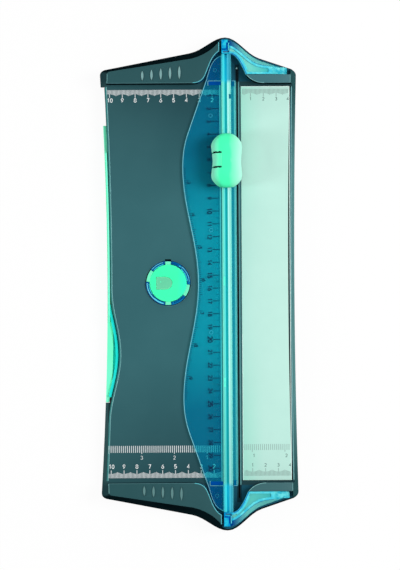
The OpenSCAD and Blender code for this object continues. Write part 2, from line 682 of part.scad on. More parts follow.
// Hinge arm at the rear end: a hollow gusset from the rail end to the knuckle, its outer side leaning in
function arm_outer(x) = end_y(x) - arm_rim;
function arm_lean_at(x) = mix(arm_lean, arm_lean_tip, ease((x - hinge_x + 24) / 24));
function arm_points() = let (
    outer = [for (i = [0:14]) let (x = mix(hinge_x, arm_left, i / 14)) [x, arm_outer(x)]],
    inner = bezier3([rail_x + 4, rail_end_y + 0.2], [rail_x + 9, rail_end_y - 1.6],
        [rail_x + 11.4, rail_end_y - 7], [block_left - 0.2, arm_inner_y], 8)
) concat(outer, [[arm_left, rail_end_y + 0.2]], inner, [[hinge_x, arm_inner_y]]);
// Outline of what is taken off the arm's leaning outer side; part is the share of the lean
function arm_cut(part) = concat(
    [for (i = [0:12]) let (x = mix(arm_left + block_width, hinge_x + 3, i / 12))
        [x, arm_outer(min(x, hinge_x)) - part * arm_lean_at(min(x, hinge_x))]],
    [[hinge_x + 3, crest_y + 10], [arm_left + block_width, crest_y + 10]]);
// Plan of the sunk panel in the arm's top, inside a frame of even width
module arm_panel() intersection() {
    offset(delta = -arm_frame) polygon([for (p = arm_points())
        [p.x, p.y > arm_outer(p.x) - 1 ? p.y - arm_lean_at(p.x) : p.y]]);
    translate([arm_left + block_width + 1.4, 0]) square([arm_slope_x - arm_left - block_width - 2.4, crest_y]);
}
module hinge_arm() difference() {
    union() {
        difference() {
            translate([0, 0, arm_floor]) linear_extrude(housing_top - arm_floor) polygon(arm_points());
            loft([[arm_floor - 1.8, arm_cut(-0.3)], [housing_top + 2, arm_cut(1.2)]]);
            // Top falls toward the knuckle
            translate([0, crest_y + 10, 0]) rotate([90, 0, 0]) linear_extrude(80) polygon([
                [mix(arm_slope_x, hinge_x, -0.3), mix(housing_top, hinge_z + knuckle_r, -0.3)],
                [mix(arm_slope_x, hinge_x, 1.3), mix(housing_top, hinge_z + knuckle_r, 1.3)],
                [mix(arm_slope_x, hinge_x, 1.3), housing_top + 6],
                [mix(arm_slope_x, hinge_x, -0.3), housing_top + 6]]);
        }
        translate([hinge_x, arm_inner_y, hinge_z]) rotate([-90, 0, 0])
            cylinder(r = knuckle_r, h = arm_outer(hinge_x) - arm_inner_y);
    }
    translate([0, 0, arm_floor - 1]) linear_extrude(housing_top - arm_floor - 1) intersection() {
        offset(delta = -arm_wall) polygon([for (p = arm_points())
            [p.x, p.y > arm_outer(p.x) - 1 ? p.y - arm_lean : p.y]]);
        translate([rail_x + 5.5, 0]) square([arm_slope_x - rail_x - 5.5, crest_y]);
    }
    translate([rail_x - tongue_half - 0.2, rail_end_y - 1, arm_floor - 1])
        cube([2 * tongue_half + 0.4, tongue_length + 1.3, wing_thickness + 1]);
    translate([rail_screw.x, rail_screw.y, arm_floor]) cylinder(d = rail_screw_d + 2 * seat_gap, h = 8);
    translate([0, 0, housing_top - arm_sink]) linear_extrude(2) arm_panel();
    // The end block stops short of the leaning side
    translate([arm_left - 1, crest_y - arm_rim - block_setback, arm_floor - 1])
        cube([block_width + 1.3, 10, housing_top - arm_floor + 3]);
    // Latch gap on top of the end block
    translate([rail_x + 1.4, rail_end_y + 1, housing_top - 1.8]) cube([1, 6.4, 3]);
    translate([rail_x - 2.4, rail_end_y + 1, housing_top - 1.8]) cube([4.8, 1.2, 3]);
    translate([hinge_x, fence_y, hinge_z]) rotate([-90, 0, 0]) cylinder(d = hinge_pin_d + 2 * shaft_gap, h = 30);
}
module hinge_arm_rear() color(clear_blue) hinge_arm();
module hinge_arm_front() color(clear_blue) mirror([0, 1, 0]) hinge_arm();

// Slide carriage: hooks under both rail lips, with a key in the groove and posts beside the cassette
module slide_carriage() color([0.2, 0.22, 0.23]) translate([0, head_y, 0]) difference() {
    l = rail_x - rail_half - slide_gap;
    r = rail_x + rail_half + slide_gap;
    under = rail_top - lip_height - slide_gap;
    bridge = rail_top + slide_gap;
    union() {
        rotate([90, 0, 0]) linear_extrude(carriage_length, center = true) polygon([
            [l - carriage_wall, hook_floor], [left_stem - slide_gap, hook_floor],
            [left_stem - slide_gap, under], [l, under], [l, bridge], [left_rib_in + slide_gap, bridge],
            [left_rib_in + slide_gap, hook_floor], [right_rib_in - slide_gap, hook_floor],
            [right_rib_in - slide_gap, bridge], [r, bridge], [r, under], [right_stem + slide_gap, under],
            [right_stem + slide_gap, hook_floor], [r + carriage_wall, hook_floor],
            [r + carriage_wall, carriage_top], [l - carriage_wall, carriage_top]]);
        for (s = [0, 1]) mirror([0, s, 0])
            translate([r, cassette_half + post_gap, hook_floor + 1])
                cube([cut_x - r, post_thick, carriage_top - hook_floor - 1]);
    }
    for (y = [-spring_y, spring_y])
        translate([rail_x, y, carriage_top - spring_seat]) cylinder(r = spring_r + 0.8, h = 5);
}

// Press springs: each one unbroken wound tube
spring_low = carriage_top - spring_seat + spring_wire + 0.05;
spring_high = head_base + head_height - cover_wall - 1.1 - spring_wire;
module press_spring() {
    rings = spring_turns * 8;
    sides = 6;
    points = [for (i = [0:rings], j = [0:sides - 1])
        let (a = 45 * i, b = 60 * j, r = spring_r + spring_wire * cos(b))
        [r * cos(a), r * sin(a), mix(spring_low, spring_high, i / rings) + spring_wire * sin(b)]];
    skin = [for (i = [0:rings - 1], j = [0:sides - 1], half = [0, 1])
        let (k = (j + 1) % sides, a = i * sides + j, b = i * sides + k, c = b + sides, d = a + sides)
        half == 0 ? [a, d, c] : [a, c, b]];
    polyhedron(points = points, faces = concat([[for (j = [0:sides - 1]) j]], skin,
        [[for (j = [sides - 1:-1:0]) rings * sides + j]]));
}
module press_springs() color([0.75, 0.76, 0.78])
    for (y = [-spring_y, spring_y]) translate([rail_x, head_y + y, 0]) press_spring();

// Push cover: a pinched pebble; the tab is cut out of its left side between two slots
function sgn_pow(v, e) = sign(v) * pow(abs(v), e);
function head_plan(inset) = [for (i = [0:39]) let (
    a = 9 * i,
    y = (head_length / 2 - inset) * sgn_pow(sin(a), head_round),
    fade = 1 - inset / head_width * 2,
    pinch = fade * (cos(a) < 0 ? waist_left : waist_right) * (0.5 + 0.5 * cos(min(180, abs(y) * 13))),
    swell = fade * head_swell * (0.5 - 0.5 * cos(30 * min(12, max(0, abs(y) - 8)))),
    w = head_width / 2 - pinch + swell - inset
) [w * sgn_pow(cos(a), head_round), y]];
head_curve = [[0, 0.5], [0.05, 0], [0.5, 0.25], [0.7, 1.1], [0.84, 2.9], [0.93, 5.4], [0.98, 8], [1, 9.8]];
function head_levels(inset, drop) = [for (p = head_curve)
    [head_base + head_height * p[0] - drop, head_plan(min(p[1] + inset, head_width / 2 - 1))]];
module cover_shell() translate([rail_x, head_y, 0]) difference() {
    loft(head_levels(0, 0));
    inner = head_levels(cover_wall, cover_wall);
    loft(concat([[head_base - 3, head_plan(cover_wall + 0.5)]], [for (k = [1:6]) inner[k]]));
}
module head_cover() color(mint) difference() {
    union() {
        cover_shell();
        translate([cassette_x0, head_y - cassette_half, cassette_z + cassette_height])
            cube([2.4, 2 * cassette_half, 5.6]);
    }
    translate([0, head_y - tab_half - slot_width, head_base - 5])
        cube([tab_root + tab_gap, 2 * (tab_half + slot_width), head_height + 10]);
    // Way of the rail through both ends
    translate([rail_x - rail_half - rail_way, head_y - head_length, head_base - 5])
        cube([rail_width + 2 * rail_way, 2 * head_length, rail_top + press_travel + rail_way - head_base + 5]);
    // Seat of the cassette in the right wall
    translate([cassette_x0, head_y - cassette_half - 0.1, head_base - 5])
        cube([cassette_thick + 0.1, 2 * cassette_half + 0.2, cassette_z + cassette_height - head_base + 5]);
}
module release_tab() color(mint) intersection() {
    cover_shell();
    translate([0, head_y - tab_half, head_base + tab_trim]) cube([tab_root - tab_gap, 2 * tab_half, head_height]);
}

base_shell();
bottom_cover();
cover_screws();
rubber_feet();
side_table_plate();
cutting_strip();
hinge_pin_rear();
hinge_pin_front();
blade_store_cup();
spare_cassette();
spare_axle();
spare_blade();
blade_store_ring();
blade_store_cap();
cap_window();
arm_pivot_pin();
arm_friction_washer();
extension_arm();
pressure_rail();
hinge_arm_rear();
hinge_arm_front();
rail_screws();
slide_carriage();
press_springs();
head_cover();
release_tab();
blade_cassette();
blade_axle();
rotary_blade();
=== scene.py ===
# %% [markdown]
# A desktop paper trimmer, dressed for the photograph.
# The solids come ready made, in metres, with every hinge and slide in its place, so this lesson
# only adds what a mould, a printer and the light in the room would add: finishes, printed scales,
# fine beads and marks. The first cell loads the solids.

import math

import bmesh
import bpy
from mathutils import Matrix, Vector


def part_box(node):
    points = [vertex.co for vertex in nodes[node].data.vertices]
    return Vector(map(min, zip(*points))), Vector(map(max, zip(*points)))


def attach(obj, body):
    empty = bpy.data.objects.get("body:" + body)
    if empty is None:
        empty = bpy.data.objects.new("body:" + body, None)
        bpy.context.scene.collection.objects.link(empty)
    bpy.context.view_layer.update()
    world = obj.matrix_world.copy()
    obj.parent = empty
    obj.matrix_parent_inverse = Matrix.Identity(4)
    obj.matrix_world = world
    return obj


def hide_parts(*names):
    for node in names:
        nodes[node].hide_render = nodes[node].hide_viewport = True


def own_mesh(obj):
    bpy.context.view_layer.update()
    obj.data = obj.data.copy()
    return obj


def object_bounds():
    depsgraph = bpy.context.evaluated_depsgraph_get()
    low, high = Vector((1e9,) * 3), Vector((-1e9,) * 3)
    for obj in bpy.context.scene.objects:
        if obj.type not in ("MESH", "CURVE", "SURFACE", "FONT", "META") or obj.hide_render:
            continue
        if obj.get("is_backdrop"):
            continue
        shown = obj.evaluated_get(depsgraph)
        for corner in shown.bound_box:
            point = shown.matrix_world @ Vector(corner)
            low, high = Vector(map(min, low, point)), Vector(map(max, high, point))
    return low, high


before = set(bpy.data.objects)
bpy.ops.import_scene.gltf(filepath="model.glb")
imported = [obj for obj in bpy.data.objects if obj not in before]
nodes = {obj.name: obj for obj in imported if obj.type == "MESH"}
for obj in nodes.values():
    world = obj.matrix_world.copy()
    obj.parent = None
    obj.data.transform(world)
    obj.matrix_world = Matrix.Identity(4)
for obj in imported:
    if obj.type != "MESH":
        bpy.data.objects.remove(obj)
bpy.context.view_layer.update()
MM = 0.001

# %% [markdown]
# The camera hangs above the trimmer, a long lens far away, leaning a little to the front.
# It could be fitted by eye, but the printed centimetres give the scale, so the lens is computed:
# pixels per metre at the deck, times the distance, is the focal length in pixels.

# %% Camera
FRAME_TALL = 570
SENSOR = 36.0
DECK_Z = 14 * MM
PIXELS_PER_METRE = 1284
DISTANCE = 2.4
LEAN = math.radians(1.8)
ROLL = -0.0055
look_at = Vector((0.4 * MM, -1.5 * MM, DECK_Z))

camera_data = bpy.data.cameras.new("camera")
camera_data.sensor_width = SENSOR
camera_data.lens = PIXELS_PER_METRE * DISTANCE / FRAME_TALL * SENSOR
camera_data.clip_start, camera_data.clip_end = 0.05, 50
camera = bpy.data.objects.new("camera", camera_data)
bpy.context.collection.objects.link(camera)
camera.location = look_at + DISTANCE * Vector((0, -math.sin(LEAN), math.cos(LEAN)))
camera.rotation_euler = (LEAN, 0, ROLL)
bpy.context.scene.camera = camera
bpy.context.scene.view_settings.view_transform = "Standard"
print("lens in mm:", round(camera_data.lens, 1))

# %% [markdown]
# Every finish below is a small node tree. Two helpers keep that short: one turns an everyday
# screen colour into the linear numbers that a renderer adds up, one makes a node and wires it.

# %% Colour and node helpers
def tone(red, green, blue):
    """A screen colour, 0 to 255, as the linear colour that a shader takes."""
    linear = []
    for value in (red, green, blue):
        value = value / 255
        linear.append(value / 12.92 if value <= 0.04045 else ((value + 0.055) / 1.055) ** 2.4)
    return (*linear, 1.0)


def add(tree, kind, inputs=None, **settings):
    """Makes one node; an input is a plain value, or the output socket that feeds it."""
    node = tree.nodes.new("ShaderNode" + kind)
    for name, value in settings.items():
        setattr(node, name, value)
    for name, value in (inputs or {}).items():
        if isinstance(value, bpy.types.NodeSocket):
            tree.links.new(value, node.inputs[name])
        else:
            node.inputs[name].default_value = value
    return node


def new_material(name):
    """An empty material with its output node."""
    material = bpy.data.materials.new(name)
    material.use_nodes = True
    material.node_tree.nodes.clear()
    return material, material.node_tree, material.node_tree.nodes.new("ShaderNodeOutputMaterial")


print("white is", tone(255, 255, 255))

# %% [markdown]
# A product shot on white: a pale floor, a bright room and one soft lamp from the right, whose
# shadow falls to the left of the cutter head. The room is plain white to the eye, in gloss and
# through clear plastic, but lights the matt surfaces more gently, so that the lamp can shape them.

# %% Room, floor and lamps
ROOM_LEVEL = 0.29
FLOOR_GLOW = 0.94

world = bpy.data.worlds.new("room")
bpy.context.scene.world = world
world.use_nodes = True
room = world.node_tree
room.nodes.clear()
path = add(room, "LightPath")
seen = add(room, "Math", {0: path.outputs["Is Camera Ray"], 1: path.outputs["Is Glossy Ray"]}, operation="MAXIMUM")
seen = add(room, "Math", {0: seen.outputs[0], 1: path.outputs["Is Transmission Ray"]}, operation="MAXIMUM")
level = add(room, "MapRange", {"Value": seen.outputs[0], "To Min": ROOM_LEVEL, "To Max": 1.0})
sky = add(room, "Background", {"Color": (1, 1, 1, 1), "Strength": level.outputs[0]})
room.links.new(sky.outputs[0], room.nodes.new("ShaderNodeOutputWorld").inputs[0])

floor_mesh = bpy.data.meshes.new("floor")
floor_mesh.from_pydata([(-4, -4, 0), (4, -4, 0), (4, 4, 0), (-4, 4, 0)], [], [(0, 1, 2, 3)])
floor = bpy.data.objects.new("floor", floor_mesh)
bpy.context.collection.objects.link(floor)
floor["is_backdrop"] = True
paper, tree, out = new_material("floor_paper")
path = add(tree, "LightPath")
seen = add(tree, "Math", {0: path.outputs["Is Camera Ray"], 1: path.outputs["Is Glossy Ray"]}, operation="MAXIMUM")
seen = add(tree, "Math", {0: seen.outputs[0], 1: path.outputs["Is Transmission Ray"]}, operation="MAXIMUM")
share = add(tree, "Math", {0: seen.outputs[0], 1: FLOOR_GLOW}, operation="MULTIPLY")
matt = add(tree, "BsdfDiffuse", {"Color": (0.92, 0.92, 0.92, 1)})
glow = add(tree, "Emission", {"Color": (1, 1, 1, 1), "Strength": 1.0})
both = add(tree, "MixShader", {0: share.outputs[0], 1: matt.outputs[0], 2: glow.outputs[0]})
tree.links.new(both.outputs[0], out.inputs[0])
floor_mesh.materials.append(paper)


def lamp(name, place, aim, size, power):
    """A soft rectangular lamp that points at a spot and is not seen itself."""
    data = bpy.data.lights.new(name, "AREA")
    data.shape = "RECTANGLE"
    data.size, data.size_y = size
    data.energy = power
    made = bpy.data.objects.new(name, data)
    bpy.context.collection.objects.link(made)
    made.location = place
    made.rotation_euler = (Vector(aim) - Vector(place)).to_track_quat("-Z", "Y").to_euler()
    made.visible_camera = False
    return made


lamp("key_right", (0.95, 0.12, 1.25), (0, 0, 0), (0.5, 0.7), 17.2)
lamp("strip_left", (-1.3, -0.1, 0.45), (0, 0, 0), (0.3, 1.4), 11)
lamp("strip_front", (0.1, -1.4, 0.5), (0, 0, 0), (1.2, 0.3), 3)
lamp("strip_back", (-0.1, 1.4, 0.5), (0, 0, 0), (1.2, 0.3), 3)

# %% [markdown]
# The solids arrive as triangles. To look moulded they need smooth shading over their curves and
# crisp breaks at their edges. The triangles stay as they are: smooth flags and two modifiers do it,
# one that joins the loose corners and one that splits the shading where the angle is sharp.

# %% Smooth shading for the solids
CREASE = math.radians(32)
for solid in nodes.values():
    mesh = solid.data
    if "custom_normal" in mesh.attributes:
        mesh.attributes.remove(mesh.attributes["custom_normal"])
    mesh.polygons.foreach_set("use_smooth", [True] * len(mesh.polygons))
    weld = solid.modifiers.new("join_corners", "WELD")
    weld.merge_threshold = 0.002 * MM
    crease = solid.modifiers.new("crease", "EDGE_SPLIT")
    crease.split_angle = CREASE
    crease.use_edge_sharp = False
print("smoothed:", len(nodes))

# %% [markdown]
# Most of the trimmer is moulded plastic. A plain colour would look like a toy, so one recipe makes
# them all: two close tones drift through the piece, gloss and a fine spark-eroded grain come from
# finer noise, and the edges are painted a little paler, a painted highlight where they catch the light.

# %% Moulded plastic
def drift(tree, scale, detail=3.0):
    """Smooth noise in the piece's own coordinates, so that it stays put when the piece moves."""
    place = add(tree, "TexCoord")
    return add(tree, "TexNoise", {"Vector": place.outputs["Object"], "Scale": scale, "Detail": detail}).outputs[0]


def blend(tree, share, first, second):
    """A colour between two colours."""
    mix = add(tree, "Mix", data_type="RGBA")
    for place, value in ((0, share), (6, first), (7, second)):
        if isinstance(value, bpy.types.NodeSocket):
            tree.links.new(value, mix.inputs[place])
        else:
            mix.inputs[place].default_value = value
    return mix.outputs[2]


def span(tree, value, low, high, start=0.0, end=1.0):
    """Maps a value from one range to another, and holds it there."""
    made = add(tree, "MapRange", {"Value": value, "From Min": low, "From Max": high, "To Min": start, "To Max": end})
    return made.outputs[0]


def edge_mask(tree, radius):
    """One along convex and concave edges, zero on open faces."""
    rounded = add(tree, "Bevel", {"Radius": radius}, samples=6)
    flat = add(tree, "NewGeometry")
    turn = add(tree, "VectorMath", {0: rounded.outputs[0], 1: flat.outputs["Normal"]}, operation="DOT_PRODUCT")
    return span(tree, turn.outputs["Value"], 0.995, 0.86), rounded.outputs[0]


def grain(tree, scale, depth, normal=None):
    """A fine bump on top of the rounded edges."""
    inputs = {"Height": drift(tree, scale, 2.0), "Strength": 0.35, "Distance": depth}
    if normal is not None:
        inputs["Normal"] = normal
    return add(tree, "Bump", inputs).outputs[0]


def moulded(
    name, first, second, edge, gloss=(0.3, 0.42), radius=0.5 * MM, edge_highlight_share=0.6, grain_scale=2600, wash=None, **fixed
):
    """Opaque moulded plastic in two close tones with edges painted paler, a painted highlight; a wash may change the
    body by place.
    """
    material, tree, out = new_material(name)
    body = blend(tree, span(tree, drift(tree, 38), 0.35, 0.65), first, second)
    if wash:
        body = wash(tree, body)
    edge_highlight_mask, rounded = edge_mask(tree, radius)
    # The edges are painted paler: a painted highlight.
    share = add(tree, "Math", {0: edge_highlight_mask, 1: edge_highlight_share}, operation="MULTIPLY").outputs[0]
    colour = blend(tree, share, body, edge)
    inputs = {
        "Base Color": colour,
        "Roughness": span(tree, drift(tree, 420), 0.3, 0.7, *gloss),
        "Normal": grain(tree, grain_scale, 0.02 * MM, rounded),
    }
    inputs.update(fixed)
    shader = add(tree, "BsdfPrincipled", inputs)
    tree.links.new(shader.outputs[0], out.inputs[0])
    return material


def finish_node(name, material):
    """Gives a solid its finish."""
    mesh = nodes[name].data
    mesh.materials.clear()
    mesh.materials.append(material)
    mesh.polygons.foreach_set("material_index", [0] * len(mesh.polygons))


dark = moulded("dark_plastic", tone(14, 30, 36), tone(20, 38, 44), tone(70, 100, 106))
grey = moulded("grey_plastic", tone(92, 104, 108), tone(104, 116, 118), tone(160, 170, 172))
rubber = moulded("foot_rubber", tone(18, 20, 22), tone(26, 28, 30), tone(60, 62, 64), gloss=(0.7, 0.85), grain_scale=1500)
for name, material in (
    ("bottom_cover", dark), ("blade_store_cup", dark),
    ("slide_carriage", grey), ("blade_cassette", grey), ("spare_cassette", grey),
    ("arm_friction_washer", dark), ("rubber_feet", rubber),
):
    finish_node(name, material)
print("moulded finishes:", len(bpy.data.materials))

# %% [markdown]
# The base is one dark petrol moulding. Its deck is a fine satin, painted paler in the middle and darker
# toward both ends, a painted light and shade. Its crested ends are painted almost black, a painted shade,
# its right flank a softer teal and its left one a dimmer teal, painted light, with a painted shadow at the
# foot of each fence right of the cutting line and a painted highlight on the grip ribs. One material does
# it all, by where a face lies and which way it looks in the piece's own coordinates. The gloss is a coat
# on the upward faces alone, because a dark wall seen at a slant would otherwise mirror the white room.

# %% Base
def spot_of(tree):
    """The place of a point in the piece's own coordinates: x, y and z in metres."""
    place = add(tree, "SeparateXYZ", {0: add(tree, "TexCoord").outputs["Object"]})
    return place.outputs["X"], place.outputs["Y"], place.outputs["Z"]


def facing_of(tree):
    """Which way a face looks in the piece's own coordinates: x, y and z."""
    look = add(tree, "SeparateXYZ", {0: add(tree, "TexCoord").outputs["Normal"]})
    return look.outputs["X"], look.outputs["Y"], look.outputs["Z"]


def upward_of(tree, low, high):
    """One where a face looks up, zero where it stands."""
    return span(tree, facing_of(tree)[2], low, high)


def times(tree, first, second):
    """Two shares, one after the other."""
    return add(tree, "Math", {0: first, 1: second}, operation="MULTIPLY").outputs[0]


def size_of(tree, value):
    """A value without its sign."""
    return add(tree, "Math", {0: value}, operation="ABSOLUTE").outputs[0]


base_finish, tree, out = new_material("base_petrol")
x, y, z = spot_of(tree)
look_x, look_y, look_z = facing_of(tree)
along = size_of(tree, y)
cloud = span(tree, drift(tree, 22), 0.35, 0.65)
# Painted light and shade: the deck is paler in the middle, darker toward both ends, and there lighter on the left than
# on the right.
lit_deck_middle = blend(tree, cloud, tone(48, 96, 102), tone(52, 100, 106))
shaded_end_left = blend(tree, cloud, tone(38, 79, 85), tone(42, 83, 88))
shaded_end_right = blend(tree, cloud, tone(27, 66, 73), tone(31, 70, 77))
fresh = blend(tree, span(tree, x, -66 * MM, -8 * MM), shaded_end_left, shaded_end_right)
deck_tone = blend(tree, span(tree, along, 60 * MM, 150 * MM), lit_deck_middle, fresh)
right_tone = blend(tree, span(tree, y, -150 * MM, 150 * MM), tone(58, 100, 104), tone(60, 108, 116))
# A painted shadow at the foot of each fence, right of the cutting line.
fence_foot_shadow = times(tree, span(tree, along, 152.4 * MM, 152.8 * MM), span(tree, z, 20.2 * MM, 19.8 * MM))
right_tone = blend(tree, fence_foot_shadow, right_tone, tone(24, 58, 64))
deck_tone = blend(tree, span(tree, x, 31 * MM, 33 * MM), deck_tone, right_tone)
housing = blend(tree, cloud, tone(38, 78, 82), tone(42, 82, 86))
housing = blend(tree, span(tree, x, 31 * MM, 33 * MM), housing, right_tone)
deck_tone = blend(tree, span(tree, z, 22 * MM, 24 * MM), deck_tone, housing)
in_bay = times(tree, span(tree, along, 156.6 * MM, 158 * MM), span(tree, z, 24 * MM, 20 * MM))
deck_tone = blend(tree, in_bay, deck_tone, tone(10, 78, 98))
# A painted highlight: the grip ribs are paler, more so toward the rear.
rib_highlight = blend(tree, span(tree, y, -1 * MM, 1 * MM), tone(92, 132, 132), tone(122, 162, 162))
deck_tone = blend(tree, span(tree, z, 25.44 * MM, 25.58 * MM), deck_tone, rib_highlight)
# The walls are painted by which way they look: near black for painted shade, lighter teal on the flanks for painted
# light, fading toward the ends.
wall_light_and_shade = blend(tree, span(tree, drift(tree, 60), 0.35, 0.65), tone(5, 17, 21), tone(9, 24, 28))
right_wall = times(tree, span(tree, look_x, 0.35, 0.8), span(tree, x, 60 * MM, 62 * MM))
right_wall_light = blend(tree, span(tree, along, 90 * MM, 150 * MM), tone(84, 134, 134), tone(40, 78, 80))
wall_light_and_shade = blend(tree, right_wall, wall_light_and_shade, right_wall_light)
left_wall = times(tree, span(tree, size_of(tree, look_y), 0.8, 0.35), span(tree, x, -58 * MM, -60 * MM))
left_wall_light = blend(tree, span(tree, along, 152 * MM, 158 * MM), tone(48, 78, 80), tone(32, 58, 62))
wall_light_and_shade = blend(tree, left_wall, wall_light_and_shade, left_wall_light)
inward = span(tree, times(tree, y, look_y), 0.02, 0.01)
bay_wall = times(tree, span(tree, along, 155.2 * MM, 156 * MM), inward)
bay_wall = times(tree, bay_wall, times(tree, span(tree, x, -6 * MM, -4 * MM), span(tree, x, 18 * MM, 17 * MM)))
wall_light_and_shade = blend(tree, bay_wall, wall_light_and_shade, tone(6, 66, 108))
shown = times(tree, span(tree, look_z, 0.6, 0.92), span(tree, z, 13.2 * MM, 13.8 * MM))
rounded = add(tree, "Bevel", {"Radius": 0.4 * MM}, samples=4).outputs[0]
shader = add(tree, "BsdfPrincipled", {
    "Base Color": blend(tree, shown, wall_light_and_shade, deck_tone),
    "Roughness": span(tree, drift(tree, 420), 0.3, 0.7, 0.5, 0.6),
    "Normal": grain(tree, 2400, 0.02 * MM, rounded),
    "Specular IOR Level": 0.0,
    "Coat Weight": span(tree, shown, 0.0, 1.0, 0.0, 0.25),
    "Coat Roughness": 0.42,
})
tree.links.new(shader.outputs[0], out.inputs[0])
finish_node("base_shell", base_finish)
print("base:", base_finish.name)

# %% [markdown]
# The side table is a pale plate let into the deck. One even tone looks like paper, so a faint wash of
# mint gathers near the rail at both ends, where the clear plastic colours the light.

# %% Side table
def table_wash(tree, body):
    """Greener near the rail toward both ends."""
    x, y, z = spot_of(tree)
    near = times(tree, span(tree, x, 50 * MM, 34 * MM), span(tree, size_of(tree, y), 40 * MM, 110 * MM))
    return blend(tree, near, body, tone(168, 224, 207))


pale = moulded(
    "pale_plate", tone(183, 226, 214), tone(187, 229, 217), tone(226, 252, 246), gloss=(0.38, 0.5), wash=table_wash
)
finish_node("side_table_plate", pale)
print("side table:", pale.name)

# %% [markdown]
# The cutting strip is a soft plastic insert. Its top is as pale as the deck beside it, and the floor of
# the groove that the wheel runs in is painted black by its depth, a painted shade.

# %% Cutting strip
strip_finish, tree, out = new_material("strip_grooved")
x, y, z = spot_of(tree)
speckle = span(tree, drift(tree, 90), 0.35, 0.65)
left_tone = blend(tree, speckle, tone(64, 130, 132), tone(70, 138, 140))
right_tone = blend(tree, speckle, tone(92, 146, 150), tone(100, 154, 156))
top_tone = blend(tree, span(tree, x, 30.2 * MM, 31 * MM), left_tone, right_tone)
top_tone = blend(tree, span(tree, size_of(tree, y), 156.6 * MM, 157.4 * MM), top_tone, tone(10, 50, 62))
# A painted shade: the floor of the groove is painted black.
groove_shade = span(tree, z, 13.3 * MM, 13.9 * MM)
shader = add(tree, "BsdfPrincipled", {
    "Base Color": blend(tree, times(tree, groove_shade, upward_of(tree, 0.5, 0.9)), tone(2, 5, 6), top_tone),
    "Roughness": span(tree, drift(tree, 420), 0.3, 0.7, 0.45, 0.6),
    "Normal": grain(tree, 2600, 0.02 * MM),
    "Specular IOR Level": 0.1,
})
tree.links.new(shader.outputs[0], out.inputs[0])
finish_node("cutting_strip", strip_finish)
print("strip:", strip_finish.name)

# %% [markdown]
# The cutter head, its tab, the cap of the blade store and the extension arm are mint. On the head,
# faces that look left or right are painted paler, most to the right, a painted sheen; the cap is painted
# paler round its rim and every mint edge is painted paler, both painted highlights.

# %% Mint pieces
def lifted(tree, normal, share):
    """A normal leaned toward the piece's own top, as when light spreads under the skin."""
    up = add(tree, "VectorTransform", {0: (0, 0, 1)}, vector_type="NORMAL", convert_from="OBJECT", convert_to="WORLD")
    both = add(tree, "Mix", {0: share, 4: normal, 5: up.outputs[0]}, data_type="VECTOR")
    return add(tree, "VectorMath", {0: both.outputs[1]}, operation="NORMALIZE").outputs[0]


def mint_piece(name, make_tone, gloss, lift):
    """Satin plastic whose tone is made by a function of the tree; lift evens its light out."""
    material, tree, out = new_material(name)
    edge_highlight_mask, rounded = edge_mask(tree, 0.4 * MM)
    # The edges are painted paler in patches, a painted highlight.
    share = times(tree, edge_highlight_mask, span(tree, drift(tree, 60), 0.2, 0.8, 0.15, 0.5))
    shader = add(tree, "BsdfPrincipled", {
        "Base Color": blend(tree, share, make_tone(tree), tone(150, 255, 222)),
        "Roughness": span(tree, drift(tree, 420), 0.3, 0.7, *gloss),
        "Normal": lifted(tree, grain(tree, 2600, 0.02 * MM, rounded), lift),
        "Specular IOR Level": 0.2,
    })
    tree.links.new(shader.outputs[0], out.inputs[0])
    return material


def head_tone(tree):
    look_x = facing_of(tree)[0]
    fresh = blend(tree, span(tree, drift(tree, 38), 0.35, 0.65), tone(66, 252, 180), tone(74, 254, 186))
    # A painted sheen: faces that look left or right are paler, most to the right.
    left = blend(tree, span(tree, look_x, -0.4, -1.0), fresh, tone(150, 255, 220))
    return blend(tree, span(tree, look_x, 0.1, 0.9), left, tone(178, 255, 230))


def cap_tone(tree):
    place = add(tree, "VectorMath", {0: add(tree, "TexCoord").outputs["Object"], 1: (1, 1, 0)}, operation="MULTIPLY")
    reach = add(tree, "VectorMath", {0: place.outputs[0], 1: DIAL}, operation="DISTANCE").outputs["Value"]
    fresh = blend(tree, span(tree, drift(tree, 38), 0.35, 0.65), tone(58, 252, 178), tone(66, 254, 184))
    fresh = blend(tree, span(tree, spot_of(tree)[0], -17 * MM, -10 * MM), fresh, tone(46, 250, 200))
    # A painted highlight: the cap is paler round its rim.
    return blend(tree, span(tree, reach, 14.4 * MM, 14.7 * MM), fresh, tone(110, 238, 190))


def reach_tone(tree):
    z = spot_of(tree)[2]
    lip = blend(tree, span(tree, drift(tree, 38), 0.35, 0.65), tone(112, 255, 200), tone(122, 255, 208))
    web = blend(tree, span(tree, drift(tree, 60), 0.35, 0.65), tone(40, 250, 240), tone(60, 255, 246))
    return blend(tree, span(tree, z, 8.3 * MM, 10.4 * MM), web, lip)


DIAL = (-24 * MM, 0, 0)
head_mint = mint_piece("head_mint", head_tone, (0.5, 0.6), 0.55)
cap_mint = mint_piece("cap_mint", cap_tone, (0.45, 0.55), 0.2)
arm_mint = mint_piece("arm_mint", reach_tone, (0.4, 0.5), 0.15)
for name, material in (
    ("head_cover", head_mint), ("release_tab", head_mint), ("blade_store_cap", cap_mint), ("extension_arm", arm_mint),
):
    finish_node(name, material)
print("mint pieces:", head_mint.name, cap_mint.name, arm_mint.name)

# %% [markdown]
# The pressure rail and the two hinge arms are clear blue. Real clear plastic could be pure glass,
# but moulded parts this size scatter some light in their depth, so half of it is a soft blue body and
# half passes through. Its ridges and edges are painted pale mint and cyan by a colour band across the
# rail's width, a painted highlight where they gather light. The wing is painted lighter in its middle
# than toward both ends, a painted light and shade, and the ridges darker under the right lip, a painted
# shade, and toward the front.

